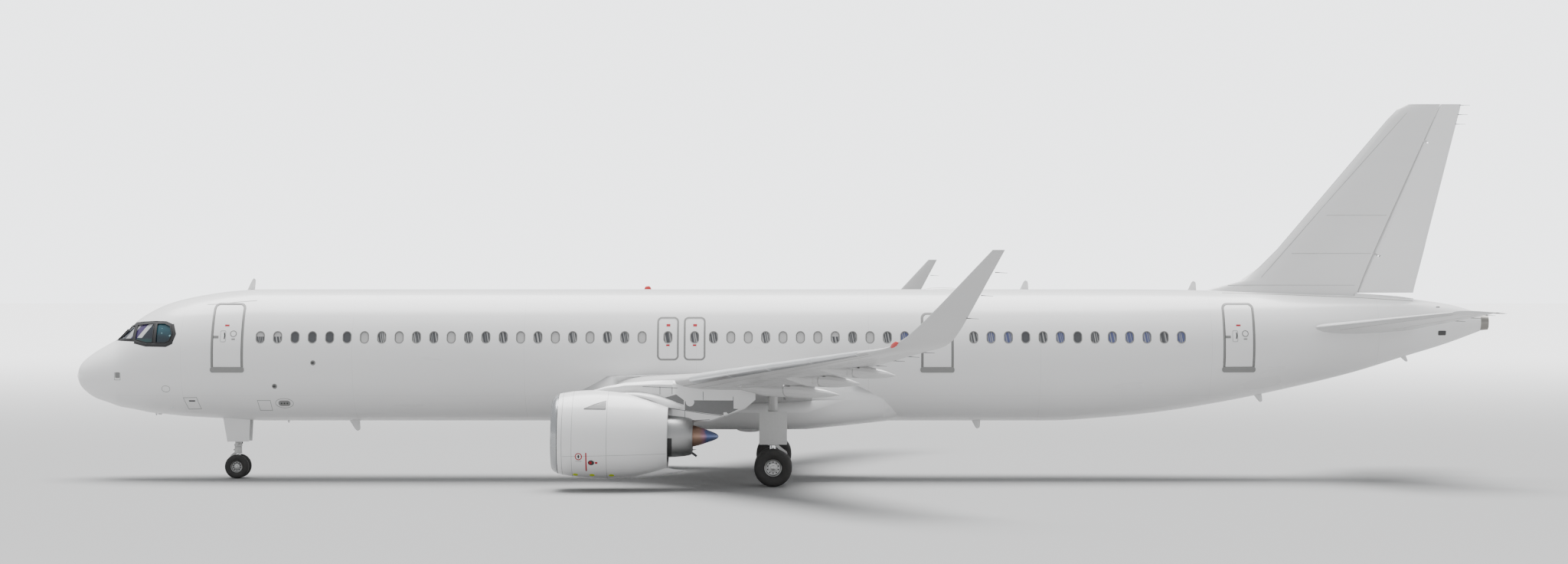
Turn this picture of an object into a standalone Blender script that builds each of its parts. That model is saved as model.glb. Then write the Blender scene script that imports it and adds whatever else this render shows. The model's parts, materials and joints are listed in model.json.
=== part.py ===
"""Half-size model of a twin-engine narrow-body airliner, parked on its landing gear.

Every size below is in metres on the full-size aircraft: X runs aft from the nose tip, Y to the
aircraft's right, Z up from the fuselage's mid-height. The empty airliner_frame carries all the
pieces and brings them to the model's scale, with its nose towards -X and its wheels on Z = 0.
"""

import math

import bmesh
import bpy
from mathutils import Matrix, Vector

MODEL_SCALE = 0.5
LENGTH = 44.51
GROUND = -3.88
FIT = 0.0008      # gap between fixed pieces that touch
CLEAR = 0.016     # gap round pieces that move
LEFT, RIGHT = -1, 1
SIDES = ((LEFT, "left"), (RIGHT, "right"))

# Fuselage sections: x, top, bottom, half width
FUSELAGE = (
    (0.00, -0.60, -0.70, 0.05),
    (0.12, -0.30, -0.97, 0.36),
    (0.30, -0.11, -1.16, 0.60),
    (0.60, 0.11, -1.36, 0.84),
    (1.00, 0.34, -1.50, 1.08),
    (1.41, 0.58, -1.64, 1.28),
    (1.70, 0.87, -1.69, 1.39),
    (2.00, 1.14, -1.75, 1.49),
    (2.35, 1.36, -1.82, 1.59),
    (2.86, 1.60, -1.87, 1.72),
    (3.44, 1.77, -1.93, 1.82),
    (4.10, 1.90, -1.97, 1.90),
    (4.89, 2.01, -2.01, 1.95),
    (5.90, 2.07, -2.07, 1.975),
    (30.60, 2.07, -2.07, 1.975),
    (32.40, 2.07, -1.97, 1.955),
    (34.30, 2.06, -1.77, 1.87),
    (36.20, 2.02, -1.46, 1.70),
    (38.40, 1.94, -1.00, 1.40),
    (40.20, 1.88, -0.56, 1.09),
    (41.80, 1.79, -0.07, 0.80),
    (43.20, 1.61, 0.36, 0.51),
    (44.25, 1.33, 0.75, 0.27),
)
CABIN_HEIGHT, CABIN_WIDTH = 2.07, 1.975    # halves of the constant section
RING_SIDES = 32
FLAT_ANGLE = 0.05         # degrees between faces that count as one plane
APU_Z = 1.03
APU_PROFILE = ((0.0, 0.0), (0.26, 0.0), (0.235, 0.258), (0.19, 0.258), (0.17, 0.08), (0.0, 0.08))
APU_SIDES = 16

# Aerials on the centre line: front x, side of the fuselage (1 top, -1 bottom), root chord, height, sweep
AERIALS = (
    (5.28, 1, 0.42, 0.34, 0.16),
    (29.72, 1, 0.36, 0.30, 0.14),
    (35.02, 1, 0.36, 0.30, 0.14),
    (8.55, -1, 0.42, 0.34, 0.22),
    (28.20, -1, 0.34, 0.26, 0.14),
    (37.10, -1, 0.30, 0.24, 0.12),
)
AERIAL_HALF, AERIAL_ROOT = 0.022, 0.08
DOME = (27.30, 0.62, 0.20, 0.09)          # middle x, half length, half width, height
JACK_PAD_RADIUS, JACK_PAD_DEPTH = 0.06, 0.03
NOSE_JACK_X = 2.60
WING_JACK = (21.00, 6.95)

DOOR_SKIN = 0.08
DOOR_TOP, MID_DOOR_TOP, DOOR_SILL = 1.58, 1.28, -0.44
# Passenger doors: name, front x, rear x, top
DOORS = (
    ("door_front", 4.62, 5.48, DOOR_TOP),
    ("door_mid", 26.62, 27.48, MID_DOOR_TOP),
    ("door_rear", 36.01, 36.87, DOOR_TOP),
)
# Cargo doors on the right: name, front x, rear x
CARGO_DOORS = (("cargo_door_front", 8.20, 10.00), ("cargo_door_rear", 29.20, 31.00))
CARGO_TOP, CARGO_SILL = -0.35, -1.50

GLASS_BAND = (
    (1.30, 0.46), (1.80, 1.02), (2.30, 1.07), (2.72, 1.09), (3.06, 1.08), (3.27, 1.00),
    (3.37, 0.70), (3.27, 0.42), (3.10, 0.34), (2.45, 0.35), (2.04, 0.44),
)
FRAME_SKIN, GLASS_SKIN = 0.03, 0.08
# Window panes seen from the side: nearest distance to the middle, outline
PANES = (
    (0.035, ((1.36, 0.51), (1.74, 0.93), (1.98, 0.93), (1.98, 0.53))),
    (0.5, ((2.07, 0.52), (2.07, 0.96), (2.66, 1.02), (2.66, 0.42), (2.45, 0.42))),
    (0.5, ((2.77, 0.42), (2.77, 1.01), (3.02, 1.01), (3.20, 0.93), (3.29, 0.70), (3.20, 0.48), (3.08, 0.42))),
)

# Wing sections: span, leading edge x and z, trailing edge x, incidence in degrees, thickness ratio
WING = (
    (1.98, 17.03, -1.00, 23.15, 3.5, 0.150),
    (6.40, 19.33, -0.60, 23.25, 1.0, 0.120),
    (16.30, 24.49, 0.45, 26.14, -1.5, 0.108),
)
WING_CAMBER = 0.012
# Tailplane sections, the first inside the fuselage
TAILPLANE = (
    (0.50, 38.29, 0.79, 41.94, 0.0, 0.100),
    (6.225, 42.07, 1.39, 43.40, 0.0, 0.090),
)
# Fin sections: height, leading edge x, trailing edge x, half thickness
FIN = (
    (1.70, 34.60, 42.10, 0.16),
    (2.11, 35.84, 42.20, 0.20),
    (2.35, 36.71, 42.26, 0.22),
    (2.76, 37.29, 42.37, 0.235),
    (3.34, 37.87, 42.52, 0.235),
    (3.68, 38.16, 42.60, 0.23),
    (7.43, 41.35, 43.56, 0.115),
    (7.74, 41.66, 43.64, 0.10),
    (7.91, 42.00, 43.67, 0.07),
)
RUDDER_HINGE = ((40.49, 1.96), (43.06, 7.86))
RUDDER_BOTTOM = 1.96

INNER_FLAP = (2.32, 6.33)
INNER_FLAP_X = 22.42
OUTER_FLAP = (6.41, 12.20)
AILERON = (12.38, 16.02)
END_GAP = 0.034           # gap at the ends of a swept control surface, which swing sideways as it turns
CONTROL_CHORD = 0.775
SPOILER = (6.80, 11.90, 0.610, 0.735)
SPOILER_SKIN = 0.04
ELEVATOR = (1.12, 6.00)
ELEVATOR_CHORD = 0.70
TAIL_PIVOT = (40.55, 0.84)
TAIL_TUBE = 0.11
TAIL_TUBE_HALF = 1.5
TAIL_RIB = ((37, 1.68), (43, 0.60))       # plane of the tailplane's root, beside the fuselage

# Flap track fairings: span, rear tip x and z, depth below the pivot
CANOES = (
    (6.15, 23.94, -1.04, 0.20),
    (9.30, 24.46, -0.61, 0.18),
    (11.95, 25.40, -0.30, 0.16),
)
# Sections of a fairing: fraction of the way from the pivot to the tip, rise, half width, share of the depth
CANOE_SECTIONS = (
    (-1.20, 0.17, 0.02, 0.10),
    (-0.95, 0.11, 0.09, 0.50),
    (-0.50, 0.03, 0.14, 0.92),
    (0.03, 0.00, 0.15, 1.00),
    (0.40, 0.00, 0.135, 0.86),
    (0.75, 0.00, 0.085, 0.52),
    (1.00, 0.00, 0.012, 0.07),
)
CANOE_TOP = 0.21          # height of a fairing's hidden top above its pivot
CANOE_NOSE = 0.205
CANOE_SHELF = 0.11
PIVOT_DROP, PIVOT_BACK = 0.15, 0.165    # flap pivot below the wing's skin and behind the cove
LUG_RADIUS, LUG_HALF = 0.085, 0.05

# Winglet sections: span, leading edge x and z, trailing edge x and z, lean in degrees
WINGLET = (
    (16.75, 24.95, 0.56, 26.40, 0.57, 20),
    (17.15, 25.40, 0.80, 26.66, 0.74, 45),
    (17.45, 25.85, 1.20, 26.90, 1.08, 65),
    (17.62, 26.30, 1.66, 27.14, 1.52, 76),
    (17.90, 27.69, 3.13, 28.01, 3.13, 80),
)
WINGLET_RATIO = 0.09

ENGINE = (15.42, 5.75, -2.20)
ENGINE_TILT = 1.0
LIP_JOINT = 0.33
LIP_PROFILE = (
    (1.215, 0.33), (1.165, 0.15), (1.10, 0.045), (1.035, 0.0),
    (0.985, 0.03), (0.945, 0.12), (0.93, 0.33),
)
COWL_OUTSIDE = (
    (1.215, 0.33), (1.275, 0.70), (1.31, 1.35), (1.27, 2.15), (1.13, 2.90), (0.955, 3.44),
)
COWL_INSIDE = ((0.935, 3.44), (0.985, 2.60), (1.02, 1.30), (1.00, 0.80), (0.93, 0.33))
# Keel under the cowl, which runs out into a beak: x, top, bottom, half width
KEEL = (
    (17.45, -3.40, -3.475, 0.05),
    (17.77, -3.38, -3.53, 0.16),
    (18.30, -3.30, -3.50, 0.20),
    (18.78, -3.21, -3.43, 0.19),
    (19.10, -3.265, -3.37, 0.12),
    (19.37, -3.285, -3.295, 0.015),
)
# Shoulders on the cowl beside the pylon: x, top, bottom, distance from the pylon's middle to the outside
SHOULDER = (
    (17.35, -0.98, -1.03, 0.30),
    (17.90, -0.97, -1.08, 0.40),
    (18.40, -1.03, -1.21, 0.46),
    (18.80, -1.15, -1.40, 0.44),
    (19.05, -1.24, -1.43, 0.38),
    (19.33, -1.39, -1.41, 0.25),
)
SHOULDER_INSIDE = 0.222
CORE_PROFILE = (
    (0.0, 0.82), (0.12, 0.82), (0.12, 1.02), (0.30, 1.02), (0.56, 1.10), (0.68, 1.60), (0.70, 2.60),
    (0.65, 3.44), (0.51, 4.17), (0.47, 4.17), (0.47, 3.92), (0.0, 3.92),
)
SHAFT_RADIUS = 0.12
PLUG_PROFILE = (
    (0.0, 3.92), (0.33, 3.92), (0.335, 4.05), (0.30, 4.25), (0.18, 4.62), (0.04, 4.92), (0.0, 4.94),
)
FAN_PROFILE = (
    (0.0, 0.28), (0.06, 0.32), (0.16, 0.44), (0.29, 0.62), (0.30, 0.72), (0.30, 0.98),
    (0.15, 0.98), (0.15, 0.80),
)
FAN_BLADES = 18
# Fan blade sections: radius, chord, stagger in degrees from the axis, half thickness
BLADE = ((0.26, 0.34, 22, 0.016), (0.60, 0.34, 44, 0.011), (0.978, 0.30, 60, 0.006))
FAN_MIDDLE = 0.79
VANES = 10
VANE_RADII = (0.62, 1.005)
VANE_SECTION = ((1.45, 0.0), (1.55, 0.02), (1.75, 0.0), (1.55, -0.02))

# Pylon sections: x, top, bottom, half width
PYLON = (
    (16.55, -0.94, -1.30, 0.02),
    (17.00, -0.81, -1.40, 0.13),
    (17.58, -0.69, -1.50, 0.18),
    (18.40, -0.63, -1.70, 0.21),
    (19.00, -0.62, -1.86, 0.22),
    (20.10, -0.66, -1.86, 0.20),
    (20.60, -0.72, -1.68, 0.15),
    (21.13, -0.78, -1.47, 0.07),
    (21.45, -0.82, -1.20, 0.02),
)

NOSE_GEAR_X = 5.07
NOSE_BAY = (4.62, 5.52, 0.33, -1.50)
NOSE_AXLE_Z = GROUND + 0.375
NOSE_TYRE = (0.375, 0.19, 0.22, 0.25)     # radius, bead radius, width, offset from the middle
NOSE_COLLAR_Z = -2.90
NOSE_DOOR = (-1.92, -2.72)
NOSE_DOOR_SKIN = 0.03
NOSE_LEG, NOSE_COLLAR, NOSE_STRUT, NOSE_BRACE = 0.10, 0.12, 0.07, 0.05    # radii
NOSE_COLLAR_DEPTH = 0.16
NOSE_AXLE, NOSE_BARREL, NOSE_HOUSING = 0.045, 0.11, 0.09    # axle radius, housing's half length and radius
MAIN_GEAR_X, MAIN_GEAR_Y = 21.97, 3.795
MAIN_AXLE_Z = GROUND + 0.575
MAIN_TYRE = (0.575, 0.27, 0.42, 0.4635)
MAIN_TOP_Z = -1.05
LEG_WELL_HALF = 0.15
LINK_HALF = 0.055         # half width of the torque links
MAIN_LEG_BOTTOM = -2.62
MAIN_LEG, MAIN_STRUT, MAIN_STAY = 0.14, 0.095, 0.06         # radii
MAIN_AXLE, MAIN_BARREL, MAIN_HOUSING = 0.075, 0.20, 0.14    # axle radius, housing's half length and radius
STAY_FOOT, STAY_TOP = (0.02, -2.25), (1.05, -1.62)          # distance inboard of the leg, height
LEG_DOOR = (0.42, 0.24, 0.28, -2.62, -1.62)    # half width, inside and outside face, bottom, top
DOOR_BRACKETS = ((-2.35, -2.25), (-1.90, -1.80))
BRACKET_HALF = 0.06
TYRE_SIDES = 24
HUB_SIDES = 16
NACELLE_SIDES = 28

# Belly fairing sections: x, half width, bottom
BELLY = (
    (14.60, 0.60, -1.90),
    (15.60, 1.55, -2.16),
    (17.00, 2.10, -2.30),
    (18.60, 2.24, -2.33),
    (21.20, 2.26, -2.34),
    (23.00, 2.19, -2.33),
    (24.20, 1.98, -2.215),
    (25.40, 1.50, -2.09),
    (26.30, 0.70, -1.95),
)
BELLY_BLISTER = (21.22, 0.42, 0.22, 0.10)   # middle x, half length, half width, depth

# Materials: name, red, green, blue, roughness, metallic
PALETTE = (
    ("white_paint", 0.80, 0.80, 0.79, 0.30, 0.0),
    ("white_composite", 0.80, 0.80, 0.79, 0.32, 0.0),
    ("grey_paint", 0.60, 0.61, 0.60, 0.35, 0.0),
    ("grey_composite", 0.60, 0.61, 0.60, 0.38, 0.0),
    ("bare_metal", 0.55, 0.56, 0.58, 0.25, 1.0),
    ("hot_metal", 0.30, 0.26, 0.24, 0.35, 1.0),
    ("dark_metal", 0.10, 0.10, 0.11, 0.45, 0.6),
    ("black_glass", 0.02, 0.02, 0.03, 0.08, 0.0),
    ("black_frame", 0.03, 0.03, 0.03, 0.35, 0.0),
    ("gear_paint", 0.70, 0.70, 0.69, 0.40, 0.0),
    ("tyre_rubber", 0.03, 0.03, 0.03, 0.85, 0.0),
)


def start_scene():
    for obj in list(bpy.data.objects):
        bpy.data.objects.remove(obj)
    groups = []
    for name in ("airliner", "cutters"):
        group = bpy.data.collections.new(name)
        bpy.context.scene.collection.children.link(group)
        groups.append(group)
    frame = bpy.data.objects.new("airliner_frame", None)
    frame.scale = (MODEL_SCALE,) * 3
    frame.location = (-LENGTH / 2 * MODEL_SCALE, 0, -GROUND * MODEL_SCALE)
    groups[0].objects.link(frame)
    paints = {}
    for name, red, green, blue, roughness, metallic in PALETTE:
        paint = bpy.data.materials.new(name)
        paint.use_nodes = True
        shader = paint.node_tree.nodes["Principled BSDF"]
        shader.inputs["Base Color"].default_value = (red, green, blue, 1)
        shader.inputs["Roughness"].default_value = roughness
        shader.inputs["Metallic"].default_value = metallic
        paints[name] = paint
    return groups[0], groups[1], frame, paints


AIRLINER, CUTTERS, FRAME, PAINTS = start_scene()


def put(name, mesh, paint=None, pivot=(0, 0, 0), turn=(0, 0, 0)):
    """A finished piece where it has a paint, and a hidden tool for cutting where it has none."""
    obj = bpy.data.objects.new(name, mesh)
    obj.parent = FRAME
    obj.location = pivot
    obj.rotation_euler = turn
    if paint:
        mesh.materials.append(PAINTS[paint])
        AIRLINER.objects.link(obj)
    else:
        obj.hide_render = True
        obj.display_type = "WIRE"
        CUTTERS.objects.link(obj)
    return obj


def piece(name, bm, paint=None, pivot=(0, 0, 0)):
    """Put a shape that was drawn in the aircraft's axes, with its origin moved to the pivot."""
    bmesh.ops.recalc_face_normals(bm, faces=bm.faces)
    bmesh.ops.triangulate(bm, faces=bm.faces)
    bmesh.ops.translate(bm, vec=-Vector(pivot), verts=bm.verts)
    mesh = bpy.data.meshes.new(name)
    bm.to_mesh(mesh)
    bm.free()
    return put(name, mesh, paint, pivot)


def turned(name, profile, paint, pivot, turn, sides):
    """A profile of (radius, distance along the axis) turned about the object's own Z axis."""
    mesh = bpy.data.meshes.new(name)
    points = [(radius, 0, along) for radius, along in profile]
    loop = profile[0][0] > 0 or profile[-1][0] > 0
    count = len(points)
    edges = [(i, (i + 1) % count) for i in range(count if loop else count - 1)]
    mesh.from_pydata(points, edges, [])
    obj = put(name, mesh, paint, pivot, turn)
    screw = obj.modifiers.new("turn", "SCREW")
    screw.steps = sides
    screw.render_steps = sides
    screw.use_merge_vertices = True
    screw.merge_threshold = 0.0001
    return obj


def combine(obj, tool, operation, solver="EXACT"):
    boolean = obj.modifiers.new(operation.lower(), "BOOLEAN")
    boolean.operation = operation
    boolean.solver = solver
    boolean.object = tool
    return obj


def cut(obj, *tools, solver="EXACT"):
    for tool in tools:
        combine(obj, tool, "DIFFERENCE", solver)
    return obj


def join(obj, *tools, solver="EXACT"):
    for tool in tools:
        combine(obj, tool, "UNION", solver)
    return obj


def loft(bm, rings):
    """Skin rings of equally many points, and close both ends."""
    rows = [[bm.verts.new(point) for point in ring] for ring in rings]
    count = len(rows[0])
    for near, far in zip(rows, rows[1:]):
        for i in range(count):
            j = (i + 1) % count
            bm.faces.new((near[i], near[j], far[j], far[i]))
    bm.faces.new(rows[0])
    bm.faces.new(reversed(rows[-1]))
    return bm


def prism_y(bm, outline, y_low, y_high):
    return loft(bm, [[(x, y, z) for x, z in outline] for y in (y_low, y_high)])


def prism_z(bm, outline, z_low, z_high):
    return loft(bm, [[(x, y, z) for x, y in outline] for z in (z_low, z_high)])


def box(bm, low, high):
    corners = [(low[0], low[1]), (high[0], low[1]), (high[0], high[1]), (low[0], high[1])]
    return prism_z(bm, corners, low[2], high[2])


def rod(bm, start, end, radius, sides=16):
    """A cylinder between two points."""
    start, end = Vector(start), Vector(end)
    along = end - start
    place = Matrix.Translation((start + end) / 2) @ along.to_track_quat("Z", "Y").to_matrix().to_4x4()
    bmesh.ops.create_cone(bm, cap_ends=True, segments=sides, radius1=radius, radius2=radius,
                          depth=along.length, matrix=place)
    return bm


def arc(radius, start, end, steps):
    """Points of an arc, with its angles in degrees."""
    angles = [math.radians(start + (end - start) * i / steps) for i in range(steps + 1)]
    return [(radius * math.cos(a), radius * math.sin(a)) for a in angles]


def lerp(a, b, t):
    return a + (b - a) * t


def grown(ring, distance):
    """A flat ring of (u, v) points, moved outward."""
    count = len(ring)
    area = sum(ring[i - 1][0] * ring[i][1] - ring[i][0] * ring[i - 1][1] for i in range(count))
    turn = 1 if area > 0 else -1
    moved = []
    for i, (u, v) in enumerate(ring):
        before, after = ring[i - 1], ring[(i + 1) % count]
        first = Vector((u - before[0], v - before[1])).normalized()
        second = Vector((after[0] - u, after[1] - v)).normalized()
        out = Vector((first.y + second.y, -first.x - second.x)) * turn
        out.normalize()
        stretch = max(0.5, out.dot(Vector((first.y, -first.x)) * turn))
        moved.append((u + out.x * distance / stretch, v + out.y * distance / stretch))
    return moved


def fuselage_rings(inset):
    rings = []
    for x, top, bottom, half_width in FUSELAGE:
        middle = (top + bottom) / 2
        wide = max(0.01, half_width - inset)
        tall = max(0.01, (top - bottom) / 2 - inset)
        angles = [2 * math.pi * (i + 0.5) / RING_SIDES for i in range(RING_SIDES)]
        rings.append([(x, wide * math.cos(a), middle + tall * math.sin(a)) for a in angles])
    return rings


def fuselage_shape(name, inset, paint=None):
    return piece(name, loft(bmesh.new(), fuselage_rings(inset)), paint)


def rounded_box(low, high, radius, steps=3):
    outline = []
    corners = ((high[0], high[1]), (low[0], high[1]), (low[0], low[1]), (high[0], low[1]))
    for corner, (x, z) in enumerate(corners):
        inward_x = -radius if x == high[0] else radius
        inward_z = -radius if z == high[1] else radius
        for dx, dz in arc(radius, 90 * corner, 90 * corner + 90, steps):
            outline.append((x + inward_x + dx, z + inward_z + dz))
    return outline


def door_outline(front, rear, top, gap):
    return rounded_box((front - gap, DOOR_SILL - gap), (rear + gap, top + gap), 0.12 + gap)


def skin_point(z):
    """The constant section's surface at a height on the right, and its outward direction there."""
    y = CABIN_WIDTH * math.sqrt(1 - (z / CABIN_HEIGHT) ** 2)
    return Vector((0, y, z)), Vector((0, y / CABIN_WIDTH ** 2, z / CABIN_HEIGHT ** 2)).normalized()


def cargo_wedge(bm, front, rear, side_gap, sill_gap, top_gap):
    """The space of a cargo door: its top and sill stand square to the skin."""
    top, top_out = skin_point(CARGO_TOP)
    sill, sill_out = skin_point(CARGO_SILL)
    top = top + Vector((0, 0, top_gap))
    sill = sill + Vector((0, -0.7, -0.7)) * sill_gap
    reach = 0.4
    outline = [top - top_out * reach, top + top_out * reach, sill + sill_out * reach, sill - sill_out * reach]
    xs = (front - side_gap, rear + side_gap)
    return loft(bm, [[(x, point.y, point.z) for point in outline] for x in xs])


def skin_height(x, face):
    """Height of the fuselage's top (face 1) or bottom (face -1) on the centre line."""
    for near, far in zip(FUSELAGE, FUSELAGE[1:]):
        if x <= far[0]:
            break
    t = (x - near[0]) / (far[0] - near[0])
    column = 1 if face > 0 else 2
    return lerp(near[column], far[column], t)


def make_aerials():
    """Blade aerials, a low dome and the nose jacking pad, all to be fused to the fuselage."""
    bm = bmesh.new()
    for x, face, chord, height, sweep in AERIALS:
        rings = []
        for rise, shift, share in ((-AERIAL_ROOT, 0, 1), (height, sweep, 0.55)):
            z = skin_height(x, face) + face * rise
            start, length = x + shift, chord * share
            ring = [(start, 0), (start + length * 0.3, AERIAL_HALF * share), (start + length, 0),
                    (start + length * 0.3, -AERIAL_HALF * share)]
            rings.append([(px, py, z) for px, py in ring])
        loft(bm, rings)
    x, half_length, half_width, height = DOME
    place = Matrix.Translation((x, 0, skin_height(x, 1) - 0.03))
    place = place @ Matrix.Diagonal((half_length, half_width, height, 1))
    bmesh.ops.create_uvsphere(bm, u_segments=12, v_segments=6, radius=1, matrix=place)
    skin = skin_height(NOSE_JACK_X, -1)
    rod(bm, (NOSE_JACK_X, 0, skin + 0.1), (NOSE_JACK_X, 0, skin - JACK_PAD_DEPTH), JACK_PAD_RADIUS)
    return piece("aerials", bm)


def make_fuselage():
    door_liner = fuselage_shape("door_liner", DOOR_SKIN)
    pocket_liner = fuselage_shape("pocket_liner", DOOR_SKIN + FIT)
    cargo_liner = fuselage_shape("cargo_liner", DOOR_SKIN + CLEAR)
    outer = fuselage_shape("outer_skin", 0)

    pockets = bmesh.new()
    for name, front, rear, top in DOORS:
        prism_y(pockets, door_outline(front, rear, top, FIT), -3, 3)
    pockets = cut(piece("door_pockets", pockets), pocket_liner)
    cargo_pockets = bmesh.new()
    for name, front, rear in CARGO_DOORS:
        cargo_wedge(cargo_pockets, front, rear, CLEAR, CLEAR, FIT)
    cargo_pockets = cut(piece("cargo_pockets", cargo_pockets), cargo_liner)

    glass_liner = fuselage_shape("glass_liner", GLASS_SKIN)
    glass_pocket_liner = fuselage_shape("glass_pocket_liner", GLASS_SKIN + FIT)
    band = [(x, z) for x, z in GLASS_BAND]
    glass_pocket = piece("glass_pocket", prism_y(bmesh.new(), grown(band, FIT), -3, 3))
    cut(glass_pocket, glass_pocket_liner)

    bay_front, bay_rear, bay_half, bay_roof = NOSE_BAY
    bay = piece("nose_bay", box(bmesh.new(), (bay_front, -bay_half, -3), (bay_rear, bay_half, bay_roof)))
    tail_bore = bmesh.new()
    x, z = TAIL_PIVOT
    bore_radius = (TAIL_TUBE + FIT) / math.cos(math.pi / 24)
    rod(tail_bore, (x, -2, z), (x, 2, z), bore_radius, 24)
    tail_bore = piece("tail_bore", tail_bore)

    fuselage = fuselage_shape("fuselage", 0, "white_paint")
    cut(fuselage, pockets, cargo_pockets, glass_pocket, bay, tail_bore)
    join(fuselage, make_aerials())

    for side, word in SIDES:
        for name, front, rear, top in DOORS:
            panel = prism_y(bmesh.new(), door_outline(front, rear, top, 0), *sorted((side * 0.3, side * 3)))
            panel = piece(name + "_" + word, panel, "white_paint")
            cut(combine(panel, outer, "INTERSECT"), door_liner)
    top, out = skin_point(CARGO_TOP)
    for name, front, rear in CARGO_DOORS:
        pivot = ((front + rear) / 2, top.y, top.z)
        panel = piece(name, cargo_wedge(bmesh.new(), front, rear, 0, 0, 0), "white_paint", pivot)
        cut(combine(panel, outer, "INTERSECT"), door_liner)

    frame_liner = fuselage_shape("frame_liner", FRAME_SKIN)
    glass_top = fuselage_shape("glass_top", FRAME_SKIN + FIT)
    frame = piece("windscreen_frame", prism_y(bmesh.new(), band, -3, 3), "black_frame")
    cut(combine(frame, outer, "INTERSECT"), frame_liner)
    panes = bmesh.new()
    for nearest, outline in PANES:
        for side, word in SIDES:
            prism_y(panes, outline, *sorted((side * nearest, side * 3)))
    cut(frame, piece("pane_holes", panes))
    glass = piece("windscreen_glass", prism_y(bmesh.new(), band, -3, 3), "black_glass")
    cut(combine(glass, glass_top, "INTERSECT"), glass_liner)

    apu_place = (FUSELAGE[-1][0] + FIT, 0, APU_Z)
    turned("apu_exhaust", APU_PROFILE[::-1], "dark_metal", apu_place, (0, math.radians(90), 0), APU_SIDES)


def half_thickness(f, ratio):
    shape = 0.2969 * math.sqrt(f) - 0.1260 * f - 0.3516 * f ** 2 + 0.2843 * f ** 3 - 0.1036 * f ** 4
    return 5 * ratio * shape + 0.002 * f


CHORD_STEPS = (1.0, 0.88, 0.76, 0.62, 0.45, 0.30, 0.18, 0.08, 0.02)


class Foil:
    """A wing, tailplane or fin, straight between its sections."""

    def __init__(self, sections, camber=0.0, upright=False):
        self.sections = sections
        self.camber = camber
        self.upright = upright

    def at_section(self, section, f, face):
        if self.upright:
            span, lead_x, trail_x, half = section
            return Vector((lerp(lead_x, trail_x, f), face * half * half_thickness(f, 1) / 0.5))
        span, lead_x, lead_z, trail_x, incidence, ratio = section
        chord = trail_x - lead_x
        rise = self.camber * 4 * f * (1 - f) + face * half_thickness(f, ratio)
        slope = math.tan(math.radians(incidence))
        return Vector((lead_x + chord * f, lead_z + chord * (rise - f * slope)))

    def flat_point(self, span, f, face):
        """Chordwise place and height of a surface point, where face is 1, 0 for the middle, or -1."""
        for near, far in zip(self.sections, self.sections[1:]):
            if span <= far[0] or far is self.sections[-1]:
                break
        t = (span - near[0]) / (far[0] - near[0])
        return self.at_section(near, f, face).lerp(self.at_section(far, f, face), t)

    def fraction(self, span, x):
        lead, trail = self.flat_point(span, 0, 0).x, self.flat_point(span, 1, 0).x
        return (x - lead) / (trail - lead)

    def to_space(self, span, flat, side):
        if self.upright:
            return (flat[0], flat[1], span)
        return (flat[0], side * span, flat[1])

    def point(self, span, f, face, side):
        return Vector(self.to_space(span, self.flat_point(span, f, face), side))

    def ring(self, span, side, growth=0.0):
        upper = [self.flat_point(span, f, 1) for f in CHORD_STEPS]
        lower = [self.flat_point(span, f, -1) for f in reversed(CHORD_STEPS)]
        ring = upper + [self.flat_point(span, 0, 0)] + lower
        if growth:
            ring = grown(ring, growth)
        return [self.to_space(span, flat, side) for flat in ring]

    def rear_ring(self, span, nose, side):
        """The section of a control surface, with a round nose about the fraction given."""
        middle = self.flat_point(span, nose, 0)
        radius = (self.flat_point(span, nose, 1) - self.flat_point(span, nose, -1)).y / 2
        steps = (1.0, lerp(1, nose, 0.5))
        ring = [self.flat_point(span, f, 1) for f in steps]
        ring += [(middle[0] + u, middle[1] + v) for u, v in arc(radius, 90, 270, 6)]
        ring += [self.flat_point(span, f, -1) for f in reversed(steps)]
        return [self.to_space(span, flat, side) for flat in ring]

    def hinge(self, span, nose, side):
        """Middle of the nose there, and its radius."""
        radius = (self.flat_point(span, nose, 1) - self.flat_point(span, nose, -1)).y / 2
        return self.point(span, nose, 0, side), radius


WING_FOIL = Foil(WING, WING_CAMBER)
TAIL_FOIL = Foil(TAILPLANE)
FIN_FOIL = Foil(FIN, upright=True)


def hinge_axes(start, end, aft):
    """Unit vectors along a hinge, aft of it and across both."""
    along = (Vector(end) - Vector(start)).normalized()
    aft = Vector(aft)
    aft = (aft - along * aft.dot(along)).normalized()
    return along, aft, along.cross(aft)


def extrude_on(bm, centre, axes, outline, half, middle=0.0):
    """A flat outline of (aft, up) points beside a hinge, extruded both ways along it."""
    along, aft, up = axes
    if up.z < 0 or (abs(up.z) < 0.3 and up.y < 0):
        up = -up
    centre = Vector(centre)
    rings = []
    for reach in (middle - half, middle + half):
        rings.append([centre + along * reach + aft * u + up * v for u, v in outline])
    return loft(bm, rings)


def hinge_lugs(prefix, places, axes, lug, notch_depth, reach_back, half=0.025):
    """Ears on the fixed side, and the slots that they turn in."""
    ears, slots = bmesh.new(), bmesh.new()
    ear = [(-reach_back, -lug)] + arc(lug, -90, 90, 6) + [(-reach_back, lug)]
    tall = 0.6
    slot = [(-reach_back - 0.2, -tall), (notch_depth, -tall), (notch_depth, tall), (-reach_back - 0.2, tall)]
    for place in places:
        extrude_on(ears, place, axes, ear, half)
        extrude_on(slots, place, axes, slot, half + FIT)
    return piece(prefix + "_ears", ears), piece(prefix + "_slots", slots)


def flap_pivot(span, side):
    """The flap hinge's place at a span, below the wing's skin and behind the cove."""
    x = cove_x(span, flap_nose(span)) + CLEAR + PIVOT_BACK
    skin = WING_FOIL.flat_point(span, WING_FOIL.fraction(span, x), -1)
    return Vector((x, side * span, skin.y - PIVOT_DROP))


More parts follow.
